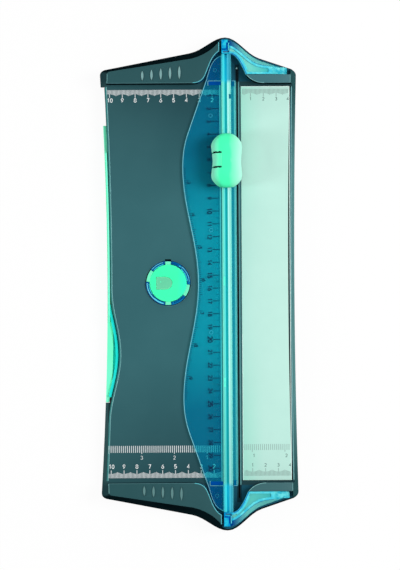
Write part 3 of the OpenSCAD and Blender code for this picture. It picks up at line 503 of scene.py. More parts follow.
# %% Clear blue plastic
def ramp_over(tree, value, lozenge_paths):
    """A colour band: each stop is a place on the value's own scale and a tone."""
    low, high = lozenge_paths[0][0], lozenge_paths[-1][0]
    ramp = add(tree, "ValToRGB", {"Fac": span(tree, value, low, high)})
    elements = ramp.color_ramp.elements
    for number, (spot, colour) in enumerate(lozenge_paths):
        element = elements[number] if number < 2 else elements.new(1.0)
        element.position = (spot - low) / (high - low)
        element.color = colour
    return ramp.outputs[0]


def see_through(tree, out, colour, share, tint, gloss=(0.14, 0.22), rounding=0.3 * MM):
    """Clear plastic: a share of coloured body with a thin gloss on top, and the rest tinted light."""
    rounded = add(tree, "Bevel", {"Radius": rounding}, samples=4).outputs[0]
    body = add(tree, "BsdfPrincipled", {
        "Base Color": colour,
        "Roughness": span(tree, drift(tree, 300), 0.3, 0.7, *gloss),
        "Normal": grain(tree, 900, 0.01 * MM, rounded),
        "Specular IOR Level": 0.0,
        "Coat Weight": span(tree, upward_of(tree, 0.6, 0.95), 0.0, 1.0, 0.0, 0.1),
        "Coat Roughness": 0.15,
    })
    clear = add(tree, "BsdfTransparent", {"Color": tint})
    both = add(tree, "MixShader", {0: share, 1: clear.outputs[0], 2: body.outputs[0]})
    tree.links.new(both.outputs[0], out.inputs[0])


def grey_of(value):
    return (value, value, value, 1.0)


def in_mm(tree, value):
    return add(tree, "Math", {0: value, 1: 1000.0}, operation="MULTIPLY").outputs[0]


WING_TINT = (0.56, 0.99, 0.97, 1.0)
# Painted light and shade: the wing is lighter in its middle than toward both ends.
wing_mid, wing_far, wing_end = (0.01, 0.62, 0.9, 1.0), (0.007, 0.27, 0.56, 1.0), tone(8, 108, 170)
pale_line, teal_line, flange = tone(112, 218, 228), tone(24, 124, 132), tone(30, 160, 184)
channel = tone(38, 182, 192)
# A painted highlight: the ridges and their edges get pale mint and cyan tones across the rail's width.
ridge_tones = [
    (16.8, pale_line), (17.4, pale_line), (17.6, teal_line), (18.2, teal_line), (18.4, tone(140, 240, 224)),
    (19.4, tone(108, 228, 208)), (20.3, tone(104, 240, 236)), (20.7, tone(70, 220, 226)), (20.75, channel),
    (22.62, channel), (22.7, tone(140, 248, 240)), (23.2, tone(190, 255, 252)), (24.2, tone(156, 240, 222)),
    (25.2, tone(140, 234, 224)), (25.7, tone(74, 184, 186)), (26.0, flange), (27.7, flange),
    (28.2, tone(104, 204, 208)), (29.0, tone(104, 204, 206)), (30, tone(70, 150, 150)),
]
past_tones = [
    (16.8, tone(0, 92, 150)), (17.9, tone(10, 120, 150)), (18.4, tone(86, 205, 225)), (19.4, tone(60, 212, 222)),
    (20.4, tone(70, 235, 248)), (20.9, tone(30, 196, 232)), (22.2, tone(40, 206, 246)), (22.8, tone(66, 190, 222)),
    (23.6, tone(72, 190, 214)), (24.4, tone(40, 156, 182)), (25.2, tone(72, 172, 192)), (25.8, tone(66, 150, 165)),
]
rail_shares = [
    (12, grey_of(0.2)), (16.6, grey_of(0.32)), (16.9, grey_of(0.6)), (17.4, grey_of(0.6)), (17.6, grey_of(0.5)), (18.3, grey_of(0.85)),
    (20.7, grey_of(0.85)), (20.75, grey_of(1.0)), (22.62, grey_of(1.0)), (22.7, grey_of(0.85)), (25.4, grey_of(0.85)),
    (25.8, grey_of(0.5)), (27.9, grey_of(0.5)), (28.4, grey_of(0.7)), (30, grey_of(0.6)),
]
rail_finish, tree, out = new_material("clear_blue_rail")
x, y, z = spot_of(tree)
across, along = in_mm(tree, x), in_mm(tree, size_of(tree, y))
past_fence = span(tree, along, 155, 158)
on_wing = span(tree, across, 16.7, 16.8, 1.0, 0.0)
wing_tone = blend(tree, span(tree, along, 45, 100), wing_mid, wing_far)
wing_tone = blend(tree, past_fence, wing_tone, wing_end)
ridge_tone = ramp_over(tree, across, ridge_tones)
# A painted shade under the lip of the right ridge.
under_lip_shade = times(tree, span(tree, across, 24.0, 24.1), span(tree, across, 25.7, 25.6))
under_lip_shade = times(tree, under_lip_shade, span(tree, in_mm(tree, z), 21.8, 21.5))
ridge_tone = blend(tree, under_lip_shade, ridge_tone, tone(10, 110, 140))
ridge_tone = blend(tree, span(tree, y, -70 * MM, -150 * MM, 0.0, 0.3), ridge_tone, tone(20, 120, 140))
ridge_tone = blend(tree, past_fence, ridge_tone, ramp_over(tree, across, past_tones))
rail_tone = blend(tree, on_wing, ridge_tone, wing_tone)
rail_share = ramp_over(tree, across, rail_shares)
rail_share = blend(tree, upward_of(tree, 0.3, 0.7), grey_of(0.12), rail_share)
rail_share = blend(tree, times(tree, past_fence, on_wing), rail_share, grey_of(0.5))
see_through(tree, out, rail_tone, rail_share, WING_TINT)
finish_node("pressure_rail", rail_finish)

arm_finish, tree, out = new_material("clear_blue_arm")
x, y, z = spot_of(tree)
tall = in_mm(tree, z)
across = in_mm(tree, x)
flat = upward_of(tree, 0.8, 0.97)
deep_side = blend(tree, span(tree, across, 25.0, 36.0), tone(0, 82, 158), tone(116, 222, 212))
side = blend(tree, span(tree, tall, 16.0, 14.6), deep_side, tone(130, 205, 208))
side = blend(tree, span(tree, tall, 24.0, 24.2), side, tone(0, 120, 196))
rim = blend(tree, span(tree, drift(tree, 160), 0.4, 0.6), tone(62, 204, 226), tone(104, 232, 238))
block = blend(tree, span(tree, drift(tree, 240), 0.4, 0.6), tone(40, 205, 232), tone(0, 150, 215))
rim = blend(tree, span(tree, across, 26.0, 25.0), rim, block)
sunk = blend(tree, span(tree, across, 30.0, 55.0), tone(142, 240, 216), tone(70, 205, 200))
sunk = blend(tree, span(tree, drift(tree, 70), 0.4, 0.6, 0.0, 0.2), sunk, tone(124, 226, 214))
# A painted shade: the front arm's sunk panel is darker than the rear one's.
sunk = blend(tree, span(tree, y, 0.0, -1 * MM, 0.0, 0.45), sunk, tone(50, 176, 172))
top = blend(tree, span(tree, tall, 24.3, 24.7), sunk, rim)
top = blend(tree, span(tree, tall, 23.6, 23.0), top, tone(0, 84, 176))
knuckle = blend(tree, span(tree, drift(tree, 260), 0.4, 0.6), tone(48, 190, 212), tone(112, 234, 238))
arm_tone = blend(tree, flat, side, top)
arm_tone = blend(tree, span(tree, across, 57.0, 60.0), arm_tone, knuckle)
arm_share = span(tree, flat, 0.0, 1.0, 0.75, 0.9)
see_through(tree, out, arm_tone, arm_share, (0.6, 0.95, 1.0, 1.0))
for name in ("hinge_arm_rear", "hinge_arm_front"):
    finish_node(name, arm_finish)

store_finish, tree, out = new_material("clear_blue_store")
swirl = span(tree, drift(tree, 110), 0.42, 0.6)
store_tone = blend(tree, swirl, tone(0, 96, 168), tone(14, 122, 186))
see_through(tree, out, store_tone, 0.8, (0.5, 0.85, 1.0, 1.0))
finish_node("blade_store_ring", store_finish)
window = moulded("smoke_window", tone(94, 204, 158), tone(102, 212, 166), tone(130, 225, 180), gloss=(0.2, 0.3))
finish_node("cap_window", window)
print("clear pieces:", rail_finish.name, arm_finish.name, store_finish.name)

# %% [markdown]
# Pins, screws, springs and the wheel are steel. Bare metal is all reflection, so its detail is in the
# gloss: fine turning marks that stretch round the part, over a cool grey.

# %% Steel
steel, tree, out = new_material("turned_steel")
place = add(tree, "TexCoord").outputs["Object"]
lines = add(tree, "TexNoise", {"Vector": place, "Scale": 1800, "Detail": 2.0}).outputs[0]
# The edges are painted paler, a painted highlight.
edge_highlight_mask, rounded = edge_mask(tree, 0.15 * MM)
metal = blend(tree, span(tree, lines, 0.3, 0.7), tone(150, 156, 160), tone(182, 186, 190))
shader = add(tree, "BsdfPrincipled", {
    "Base Color": blend(tree, edge_highlight_mask, metal, tone(225, 228, 230)),
    "Metallic": 1.0,
    "Roughness": span(tree, lines, 0.3, 0.7, 0.22, 0.4),
    "Normal": grain(tree, 3000, 0.006 * MM, rounded),
})
tree.links.new(shader.outputs[0], out.inputs[0])
for name in (
    "cover_screws", "hinge_pin_rear", "hinge_pin_front", "arm_pivot_pin", "rail_screws", "press_springs",
    "blade_axle", "rotary_blade", "spare_axle", "spare_blade",
):
    finish_node(name, steel)
print("without a finish:", [n for n in nodes if not nodes[n].data.materials[0].use_nodes])

# %% [markdown]
# The scales are printed ink: a film far thinner than paper. An image would be the quick way, but
# real ink has an edge, so each digit is a ribbon drawn along a stroke, as with a pen plotter.
# The strokes live in a box one high; each print gives its own height, line width and turn.

# %% Pen strokes
def curve(cx, cy, rx, ry, start, stop, steps=9):
    """Points along part of an ellipse, angles in degrees."""
    turns = [math.radians(start + (stop - start) * i / steps) for i in range(steps + 1)]
    return [(cx + rx * math.cos(t), cy + ry * math.sin(t)) for t in turns]


def loop(cx, cy, rx, ry, steps=16):
    """A closed ellipse."""
    return curve(cx, cy, rx, ry, 0, 360, steps)[:-1]


DIGITS = {
    "0": [(True, loop(0.3, 0.5, 0.28, 0.5))],
    "1": [(False, [(0.1, 0.78), (0.34, 1.0), (0.34, 0.0)])],
    "2": [(False, curve(0.3, 0.7, 0.28, 0.3, 165, -35) + [(0.03, 0.0), (0.6, 0.0)])],
    "3": [(False, curve(0.28, 0.75, 0.26, 0.25, 150, -80) + curve(0.28, 0.26, 0.3, 0.26, 78, -150))],
    "4": [(False, [(0.44, 0.0), (0.44, 1.0), (0.0, 0.3), (0.6, 0.3)])],
    "5": [(False, [(0.55, 1.0), (0.1, 1.0), (0.05, 0.54)] + curve(0.27, 0.32, 0.3, 0.32, 110, -150))],
    "6": [(False, [(0.5, 0.98), (0.2, 0.75)] + curve(0.3, 0.3, 0.29, 0.3, 170, 520, 16))],
    "7": [(False, [(0.0, 1.0), (0.58, 1.0), (0.2, 0.0)])],
    "8": [(True, loop(0.3, 0.75, 0.24, 0.25)), (True, loop(0.3, 0.25, 0.29, 0.26))],
    "9": [(False, [(0.1, 0.02), (0.4, 0.25)] + curve(0.3, 0.7, 0.29, 0.3, -10, 340, 16))],
}


def ribbon(bm, path, width, low, high, closed=False, crown=1.0):
    """A thin prism of even width along a path, its top narrowed to a crown; the corners are mitred."""
    count = len(path)
    rings = []
    for i, point in enumerate(path):
        before = path[i - 1] if closed or i > 0 else None
        after = path[(i + 1) % count] if closed or i < count - 1 else None
        into = (Vector(point) - Vector(before)).normalized() if before else None
        onward = (Vector(after) - Vector(point)).normalized() if after else None
        into, onward = into or onward, onward or into
        way = (into + onward).normalized()
        side = Vector((-way.y, way.x))
        reach = width / 2 / max(0.5, abs(side.dot(Vector((-onward.y, onward.x)))))
        here = Vector(point)
        reach = side * reach
        corners = ((here + reach, low), (here - reach, low), (here - reach * crown, high), (here + reach * crown, high))
        rings.append([bm.verts.new((p.x, p.y, z)) for p, z in corners])
    pairs = list(zip(rings, rings[1:])) + ([(rings[-1], rings[0])] if closed else [])
    for first, second in pairs:
        for k in range(4):
            bm.faces.new((first[k], first[(k + 1) % 4], second[(k + 1) % 4], second[k]))
    if not closed:
        bm.faces.new(rings[0][::-1])
        bm.faces.new(rings[-1])


def number(bm, text, centre, height, width, low, high, turned=False):
    """Writes digits about a centre; turned ones read downward, with their tops to the right."""
    pitch = 0.78 * height
    for place, digit in enumerate(text):
        offset = (place - (len(text) - 1) / 2) * pitch
        for closed, strokes in DIGITS[digit]:
            drawn = []
            for x, y in strokes:
                along, up = offset + (x - 0.3) * height, (y - 0.5) * height
                drawn.append((centre[0] + up, centre[1] - along) if turned else (centre[0] + along, centre[1] + up))
            ribbon(bm, drawn, width, low, high, closed)


def print_piece(name, bm, material, body):
    """Turns the drawn ribbons into one piece that rides on a body."""
    bmesh.ops.recalc_face_normals(bm, faces=bm.faces)
    mesh = bpy.data.meshes.new(name)
    bm.to_mesh(mesh)
    bm.free()
    made = bpy.data.objects.new(name, mesh)
    bpy.context.collection.objects.link(made)
    mesh.materials.append(material)
    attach(made, body)
    print(name, len(mesh.polygons), "faces")
    return made


def ink(name, first, second, gloss=(0.4, 0.55)):
    """Printed ink: two close tones, a slightly uneven film."""
    material, tree, out = new_material(name)
    shader = add(tree, "BsdfPrincipled", {
        "Base Color": blend(tree, span(tree, drift(tree, 700), 0.35, 0.65), first, second),
        "Roughness": span(tree, drift(tree, 900), 0.3, 0.7, *gloss),
        "Specular IOR Level": 0.1,
    })
    tree.links.new(shader.outputs[0], out.inputs[0])
    return material


white_ink = ink("white_ink", tone(206, 212, 214), tone(222, 228, 229))
bright_ink = ink("bright_ink", tone(236, 241, 242), tone(244, 248, 248))
grey_ink = ink("grey_ink", tone(148, 180, 172), tone(156, 188, 180))
slate_ink = ink("slate_ink", tone(106, 138, 132), tone(114, 146, 140))
navy_ink = ink("navy_ink", tone(0, 28, 60), tone(2, 34, 68))
print("digits:", "".join(DIGITS))

# %% [markdown]
# The deck carries two centimetre scales, one along each fence, and an inch scale near the front.
# They all count from the cutting line. The millimetre ticks grow toward the middle of each
# centimetre, which makes the scalloped band that the eye reads first.

# %% Deck scales
CUT_X = 31.0
FILM = (DECK_Z - 0.03 * MM, DECK_Z + 0.05 * MM)


def tick(bm, x, y0, y1, width, film):
    """An upright tick from y0 to y1, in mm."""
    ribbon(bm, [(x * MM, y0 * MM), (x * MM, y1 * MM)], width * MM, *film)


def cm_scale(bm, start, side, first_x, last_x, film, far=1):
    """Millimetre ticks between two places, standing on start and growing away from the fence."""
    mm = 0
    while True:
        x = CUT_X + far * mm
        mm += 1
        if (x - last_x) * far > 0:
            break
        if (x - first_x) * far < 0:
            continue
        part = (mm - 1) % 10
        rise = 3.2 + 1.4 * (1 - abs(part - 5) / 5) ** 1.5
        wide = 0.56
        if part == 0:
            rise, wide = 6.0, 0.56
        tick(bm, x, start, start - side * rise, wide, film)


bm, digits_bm = bmesh.new(), bmesh.new()
for start, side, text_y in ((151.0, 1, 142.9), (-151.4, -1, -142.5)):
    cm_scale(bm, start, side, 17.6, -71.2, FILM, far=-1)
    for cm in range(2, 11):
        x = CUT_X - 10 * cm + (0.3 if cm == 10 else 0)
        number(digits_bm, str(cm), (x * MM, text_y * MM), 2.9 * MM, 0.5 * MM, *FILM)
print_piece("deck_cm_scales", bm, white_ink, "base")
print_piece("deck_cm_digits", digits_bm, bright_ink, "base")

bm = bmesh.new()
SIXTEENTH = 25.4 / 16
for step in range(1, 65):
    x = CUT_X - step * SIXTEENTH
    if -71.2 < x < 17.8:
        tick(bm, x, -126.4, -132.6 if step % 16 == 0 else -131.7, 0.58, FILM)
for inch in range(1, 5):
    x = CUT_X - 25.4 * inch
    if x > -70:
        number(bm, str(inch), (x * MM, -135.6 * MM), 2.6 * MM, 0.42 * MM, *FILM)
print_piece("deck_inch_scale", bm, white_ink, "base")

# %% [markdown]
# The pale side table repeats the scales in a soft grey, counted the other way from the cutting line.

# %% Side table scales
bm, digits_bm = bmesh.new(), bmesh.new()
for start, side, text_y in ((151.4, 1, 143.6), (-150.1, -1, -141.7)):
    cm_scale(bm, start, side, 34.2, 70.8, FILM, far=1)
    for cm in range(1, 5):
        x = CUT_X + 10 * cm - (0.9 if cm == 4 else 0)
        number(digits_bm, str(cm), (x * MM, text_y * MM), 2.3 * MM, 0.45 * MM, *FILM)
for step in range(24):
    x = 34.4 + step * SIXTEENTH
    if x < 70.6:
        tick(bm, x, -125.5, -131.6 if abs(x - 40.6) < 0.8 or abs(x - 66) < 0.8 else -130.1, 0.55, FILM)
for text, x in (("1", 42.1), ("2", 67.3)):
    number(digits_bm, text, (x * MM, -134.4 * MM), 2.3 * MM, 0.45 * MM, *FILM)
print_piece("table_scales", bm, grey_ink, "base")
print_piece("table_digits", digits_bm, slate_ink, "base")
plate_low, plate_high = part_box("side_table_plate")
plate_left, plate_right = plate_low[0] / MM + 0.3, plate_high[0] / MM - 0.3
plate_front, plate_back = plate_low[1] / MM + 0.3, plate_high[1] / MM - 0.3
print("side table from", round(plate_left, 1), "to", round(plate_right, 1), "mm")

# %% [markdown]
# The wing of the rail has a long centimetre scale beside the ridges, counted from the rear fence,
# and an inch scale along its wavy edge. Both read downward.

# %% Rail scales
WING_TOP = 16.4 * MM
WING_FILM = (WING_TOP - 0.03 * MM, WING_TOP + 0.05 * MM)
RULER_TOP = 156


def mix(a, b, t):
    return a + (b - a) * t


BULGE_Y = 90.5
WAIST_X, BULGE_X = -0.8, -12.6


def wing_edge(y):
    """The wavy left edge of the wing in mm, between the two straight ends."""
    return mix(WAIST_X, BULGE_X, 0.5 - 0.5 * math.cos(math.pi * min(abs(y), BULGE_Y) / BULGE_Y))


bm = bmesh.new()
for mm in range(4, 309):
    y = RULER_TOP - mm
    if mm % 10 == 0:
        ribbon(bm, [(10.8 * MM, y * MM), (16.5 * MM, y * MM)], 0.5 * MM, *WING_FILM)
    else:
        start = 13.6 if mm % 5 == 0 else 15.0
        ribbon(bm, [(start * MM, y * MM), (16.5 * MM, y * MM)], 0.2 * MM, *WING_FILM)
for cm in range(1, 31):
    bold = cm % 5 == 0 and cm >= 10
    height, stroke = (3.2, 0.75) if bold else (2.8, 0.6)
    number(bm, str(cm), (8.5 * MM, (RULER_TOP - 10 * cm) * MM), height * MM, stroke * MM, *WING_FILM, turned=True)
print_piece("rail_cm_scale", bm, navy_ink, "rail")

bm = bmesh.new()
for step in range(1, 16 * 12):
    y = RULER_TOP - step * SIXTEENTH
    if abs(y) < BULGE_Y:
        x = wing_edge(y) + 1.2
        long = 4.2 if step % 16 == 0 else (2.6 if step % 8 == 0 else 1.5)
        ribbon(bm, [(x * MM, y * MM), ((x + long) * MM, y * MM)], 0.4 * MM, *WING_FILM)
for inch in range(1, 12):
    y = RULER_TOP - 25.4 * inch
    if abs(y) < BULGE_Y:
        number(bm, str(inch), ((wing_edge(y) + 4.6) * MM, (y - 1.6) * MM), 2.6 * MM, 0.55 * MM, *WING_FILM, turned=True)
print_piece("rail_inch_scale", bm, navy_ink, "rail")

# %% [markdown]
# Bright threads of light run wherever a wall ends: along the wavy edge of the wing, round the bays,
# down both flanks. A bevel in the shading is too faint for that at this size, so each is a painted
# highlight: a real bead, a low trapezoid in a pale glint colour laid on the edge that it follows.

# %% Bead helpers
def bend(*points, steps=10):
    """Points along a Bezier curve of any degree."""
    path = []
    for i in range(steps + 1):
        row = [Vector(p) for p in points]
        while len(row) > 1:
            row = [a.lerp(b, i / steps) for a, b in zip(row, row[1:])]
        path.append(tuple(row[0]))
    return path


def scaled(path):
    return [(x * MM, y * MM) for x, y in path]


def shifted(path, reach):
    """The same path moved to its left by a reach."""
    moved = []
    for i, (x, y) in enumerate(path):
        before, after = path[max(i - 1, 0)], path[min(i + 1, len(path) - 1)]
        way = Vector((after[0] - before[0], after[1] - before[1])).normalized()
        moved.append((x - way.y * reach, y + way.x * reach))
    return moved


def flipped(path):
    """The same path at the front end."""
    return [(x, -y) for x, y in path]


def beads(name, paths, width, base, rise, material, body, closed=False, crown=0.5):
    """Low beads along paths in mm, on one height, as one piece."""
    bm = bmesh.new()
    for path in paths:
        ribbon(bm, scaled(path), width * MM, (base - 0.05) * MM, (base + rise) * MM, closed, crown)
    return print_piece(name, bm, material, body)


def glint(name, first, second):
    """A bright edge in clear or satin plastic."""
    return moulded(name, first, second, second, gloss=(0.25, 0.35), radius=0.1 * MM, **{"Specular IOR Level": 0.0})


petrol_glint = glint("petrol_glint", tone(120, 176, 178), tone(132, 188, 188))
petrol_soft = glint("petrol_soft", tone(76, 118, 124), tone(84, 128, 132))
wing_glint = glint("wing_glint", tone(112, 182, 198), tone(130, 198, 210))
wing_mark = glint("wing_mark", tone(50, 150, 178), tone(60, 162, 188))
bay_glint = glint("bay_glint", tone(84, 176, 190), tone(100, 190, 200))
deep_blue = glint("deep_blue", tone(0, 72, 150), tone(0, 80, 168))
print("glints:", petrol_glint.name, wing_glint.name)

# %% [markdown]
# The base has pale beads round both bays, on the rounded inner corners beside them, along the fences
# and down its two flanks, painted highlights on the edges they follow. The flanks follow the same
# gentle bow as the sides of the base.

# %% Base beads
HOUSING_TOP = 25.0
FENCE_Y = 155.0
CORNER_Y = 167.1
SCOOP_Y = -56.2


def left_side(y):
    """The outer left side of the base in mm."""
    return -(71.5 + 5.3 * (y / CORNER_Y) ** 2)


def left_flank(y):
    """The deck's left edge in mm, with the finger scoop."""
    edge = left_side(y) + 3.4 + 0.9 * (y / CORNER_Y) ** 2
    if abs(y - SCOOP_Y) < 52:
        edge += 7.2 * (0.5 + 0.5 * math.cos(math.pi * (y - SCOOP_Y) / 52))
    return edge


def right_flank(y):
    """The top edge of the right wall in mm."""
    bow = (y / CORNER_Y) ** 2
    return 74.5 + 2.3 * bow - 2 - 1.2 * bow


bay_rim = [(16.35, 187), (16.35, 180.1)]
bay_rim += bend((15.95, 179.85), (11.55, 176.7), (9.2, 170.7))
bay_rim += bend((5.6, 161.8), (3.0, 155.5), (-4, 155.45))
corner_rim = [(51 + 17.1 * math.cos(math.radians(a)), 172.4 + 17.1 * math.sin(math.radians(a))) for a in range(221, 272, 5)]
beads("bay_rim_beads", [bay_rim, flipped(bay_rim)], 0.7, HOUSING_TOP, 0.14, bay_glint, "base")
corner_rims = [corner_rim, flipped(corner_rim)]
beads("corner_rim_beads", corner_rims, 0.5, HOUSING_TOP, 0.12, petrol_glint, "base")

fences = [[(-4, FENCE_Y + 0.4), (-70.4, FENCE_Y + 0.4)], [(51, FENCE_Y + 0.35), (71.6, FENCE_Y + 0.35)]]
ends = [[(-70.6, FENCE_Y + 0.4), (-70.4, FENCE_Y + 7.8)], [(71.7, FENCE_Y + 0.5), (71.7, FENCE_Y + 6.4)]]
beads("fence_beads", fences + [flipped(p) for p in fences], 0.4, HOUSING_TOP, 0.1, petrol_soft, "base")
beads("end_beads", ends + [flipped(p) for p in ends], 0.6, HOUSING_TOP - 2, 2.12, petrol_glint, "base")

plate_glint = glint("plate_glint", tone(228, 252, 246), tone(236, 255, 250))
plate_lines = [[(plate_left, plate_back), (plate_right, plate_back), (plate_right, plate_front)]]
plate_lines.append([(plate_left, -40), (plate_left, plate_front)])
beads("table_edge_lines", plate_lines, 0.5, 14.0, 0.06, plate_glint, "base")

levels = [FENCE_Y - 1.5 - (2 * FENCE_Y - 3) * i / 90 for i in range(91)]
left_bead = [(left_flank(y) + 0.4, y) for y in levels]
right_bead = [(right_flank(y) - 0.45, y) for y in levels]
beads("flank_beads", [left_bead, right_bead], 0.6, 14.0, 0.14, petrol_glint, "base")
# Painted light: a teal line along the wall just outside the deck's left edge.
flank_glint_teal = glint("flank_glint_teal", tone(52, 122, 122), tone(60, 132, 130))
flank_glint_path = [(x - 0.75, y) for x, y in left_bead]
beads("left_flank_glint_line", [flank_glint_path], 0.8, 13.95, 0.06, flank_glint_teal, "base", crown=0.9)

# %% [markdown]
# The extension arm lies in the left edge of the base. A raised rim runs along it and catches the light,
# and in the finger scoop its inner web shows as a cyan band. Both are ribs on the arm and swing with it.

# %% Extension arm ribs
RIB_TOP = 13.4
lip_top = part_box("extension_arm")[1][2] / MM
rim_path = [(left_side(y) + 1.5, y) for y in range(102, -34, -4)]
rim_mint = glint("rim_mint", tone(120, 255, 214), tone(132, 255, 222))
beads("arm_rim_rib", [rim_path], 1.3, lip_top, RIB_TOP - lip_top, rim_mint, "side_arm", crown=0.9)
scoop = [SCOOP_Y + 40 - 2 * i for i in range(37)]
web_path = [(left_flank(y) - 2.7, y) for y in scoop]
web_cyan = glint("web_cyan", tone(26, 224, 214), tone(38, 232, 222))
beads("scoop_web", [web_path], 2.4, 8.1, 4.3, web_cyan, "side_arm", crown=0.9)

# %% [markdown]
# The wing of the rail has a bright bead along its whole wavy edge and a bright frame over each fence
# where it is relieved below, both painted highlights, and a few round marks where ejector pins pushed
# it out of the mould.

# %% Rail beads
edge_in = 0.45
half_edge = bend((18.2, 177.0), (9.4, 175.6), (8.3, 163.5), (5.3, 155.5), steps=12)
half_edge += bend((-8.4, 116.5), (BULGE_X, 104.5), (BULGE_X, BULGE_Y), steps=8)
wave = [(wing_edge(BULGE_Y * (1 - i / 30)), BULGE_Y * (1 - i / 30)) for i in range(1, 61)]
rear_part = [(x + edge_in, y) for x, y in half_edge]
edge_path = rear_part + [(x + edge_in, y) for x, y in wave[:-1]] + flipped(rear_part)[::-1]
beads("wing_edge_bead", [edge_path], 0.6, 16.4, 0.15, wing_glint, "rail")

relief = [(17.9, 157.6), (7.8, 157.6), (7.8, 153.9)]
relief_right = [(26.2, 157.6), (28.6, 157.6), (28.6, 153.9)]
beads("relief_frames", [relief, flipped(relief)], 0.5, 16.4, 0.12, wing_glint, "rail")
beads("relief_frames_right", [relief_right, flipped(relief_right)], 0.5, 15.4, 0.12, wing_glint, "rail")
pane_right = [(27.35, 153.4), (27.35, 158.1)]
pane_teal = glint("pane_teal", tone(0, 96, 140), tone(0, 104, 150))
beads("relief_panes_right", [pane_right, flipped(pane_right)], 2.7, 15.35, 0.09, pane_teal, "rail", crown=0.98)
pane = [(8.3, 155.7), (17.9, 155.7)]
beads("relief_panes", [pane, flipped(pane)], 2.9, 16.4, 0.04, deep_blue, "rail", crown=0.98)

EJECTORS = [(13.2, 166.0), (9.7, 130.5), (9.8, 41.1), (9.4, -38.5), (13.3, -165.3)]
rings = [[(cx + x, cy + y) for x, y in loop(0, 0, 1.35, 1.35)] for cx, cy in EJECTORS]
beads("ejector_marks", rings, 0.4, 16.4, 0.08, wing_mark, "rail", closed=True)

# %% [markdown]
# The end of each hinge arm has a small spring latch, dark in the clear plastic, and a line where the
# wall below meets the top. The left rib carries three small bright lozenges, and the end of the groove
# of the cutting strip gets a white dot, a painted highlight.

# %% Arm and rail marks
latch = [[(22.7, 180.9), (22.7, 186.6)], [(18.9, 181.4), (21.9, 181.4)]]
latch_edge = [[(24.0, 180.5), (24.0, 186.5)]]
inner_side = bend((26, 178), (31, 176.4), (33.4, 171), (37.4, 161.9))
inner_wall, inner_band = shifted(inner_side, 0.45), shifted(inner_side, 2.0)
latch_blue = glint("latch_blue", tone(0, 74, 156), tone(0, 84, 170))
wall_blue = glint("wall_blue", tone(0, 120, 196), tone(8, 130, 204))
latch_light = glint("latch_light", tone(96, 232, 244), tone(110, 240, 248))
beads("latch_bars", latch + [flipped(p) for p in latch], 1.3, HOUSING_TOP, 0.06, latch_blue, "rail", crown=0.9)
beads("latch_edges", latch_edge + [flipped(p) for p in latch_edge], 0.8, HOUSING_TOP - 4.4, 4.5, latch_light, "rail")
band_cyan = glint("band_cyan", tone(64, 206, 226), tone(84, 222, 236))
bands = [inner_band[1:-1], flipped(inner_band[1:-1])]
beads("inner_bands", bands, 1.1, HOUSING_TOP - 0.9, 0.88, band_cyan, "rail", crown=0.9)
beads("inner_wall_lines", [inner_wall, flipped(inner_wall)], 0.7, HOUSING_TOP, 0.05, wall_blue, "rail", crown=0.9)
# Three small bright lozenges along the left rib.
LOZENGE_Y = (79.7, 1.2, -77.3)
lozenge_mint = glint("lozenge_mint", tone(90, 246, 214), tone(100, 250, 222))
lozenge_paths = [[(19.8, y - 3.5), (19.8, y + 3.5)] for y in LOZENGE_Y]
rail_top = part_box("pressure_rail")[1][2] / MM
beads("rib_lozenges", lozenge_paths, 1.6, rail_top, 0.06, lozenge_mint, "rail", crown=0.85)
# A painted highlight: a white dot at the end of the groove.
groove_end_highlight = [(30.3 + x, 167.6 + y) for x, y in loop(0, 0, 0.35, 0.35, 10)]
beads("groove_end_highlight", [groove_end_highlight], 0.7, 14.0, 0.1, bright_ink, "base", closed=True)

# %% [markdown]
# The blade store has a pale rim in the deck, a painted highlight, and its clear ring bends the light
# into dark and bright arcs. They are painted highlights and painted shade: shallow beads on the ring,
# drawn as arcs about the dial's centre.

# %% Dial details
def arc(reach, start, stop):
    """An arc about the dial's centre in mm, angles in degrees."""
    steps = max(3, int(abs(stop - start) / 4))
    return [(-24 + x, y) for x, y in curve(0, 0, reach, reach, start, stop, steps)]


RING_TOP = 16.0
store_glint = glint("store_glint", tone(50, 190, 220), tone(64, 200, 228))
store_line = glint("store_line", tone(110, 214, 232), tone(126, 224, 238))
store_shade = glint("store_shade", tone(0, 66, 120), tone(0, 74, 132))
spots = [arc(15.9, 52, 57), arc(15.9, 228, 240), arc(16.0, 242, 256)]
inner = [arc(15.0, 6, 48), arc(15.0, 104, 138), arc(15.0, 182, 215)]
lines = [arc(16.5, 4, 50), arc(16.5, 104, 140)]
wide_lines = [arc(16.3, 180, 258)]
dim = [arc(15.95, 104, 140), arc(15.95, 4, 46), arc(15.5, 182, 222), arc(15.9, 286, 318), arc(16.0, 62, 78)]
beads("ring_spots", spots, 1.0, RING_TOP, 0.08, store_glint, "store_ring")
beads("ring_inner_arcs", inner, 0.7, RING_TOP, 0.05, store_glint, "store_ring")
beads("ring_wide_lines", wide_lines, 0.8, RING_TOP, 0.09, store_line, "store_ring")
beads("ring_lines", lines, 0.45, RING_TOP, 0.08, store_line, "store_ring")
beads("ring_dark_arcs", dim, 0.8, RING_TOP, 0.06, store_shade, "store_ring")
beads("store_rim_bead", [arc(17.85, -256, 76)], 0.45, 14.0, 0.08, petrol_soft, "base")

WINDOW = (-24 - 8.8, 4.5, -24 + 2.9)
left, half, tip = WINDOW
outline = [(left, half), (left, -half)] + bend((-26, -half), (tip - 2, -half), (tip, -half * 0.45), (tip, 0))
outline += bend((tip, 0), (tip, half * 0.45), (tip - 2, half), (-26, half))[1:]
# A painted highlight: a pale outline round the edge of the cap's window.
window_pale = glint("window_pale", tone(130, 225, 180), tone(144, 232, 190))
beads("window_outline", [outline], 0.5, RING_TOP, 0.06, window_pale, "store_cap", closed=True)
window_dot = [(-29.7 + x, 0.9 + y) for x, y in loop(0, 0, 0.3, 0.3, 10)]
dot_mint = glint("dot_mint", tone(100, 240, 185), tone(112, 246, 194))
beads("window_dot", [window_dot], 0.5, RING_TOP, 0.08, dot_mint, "store_cap", closed=True)

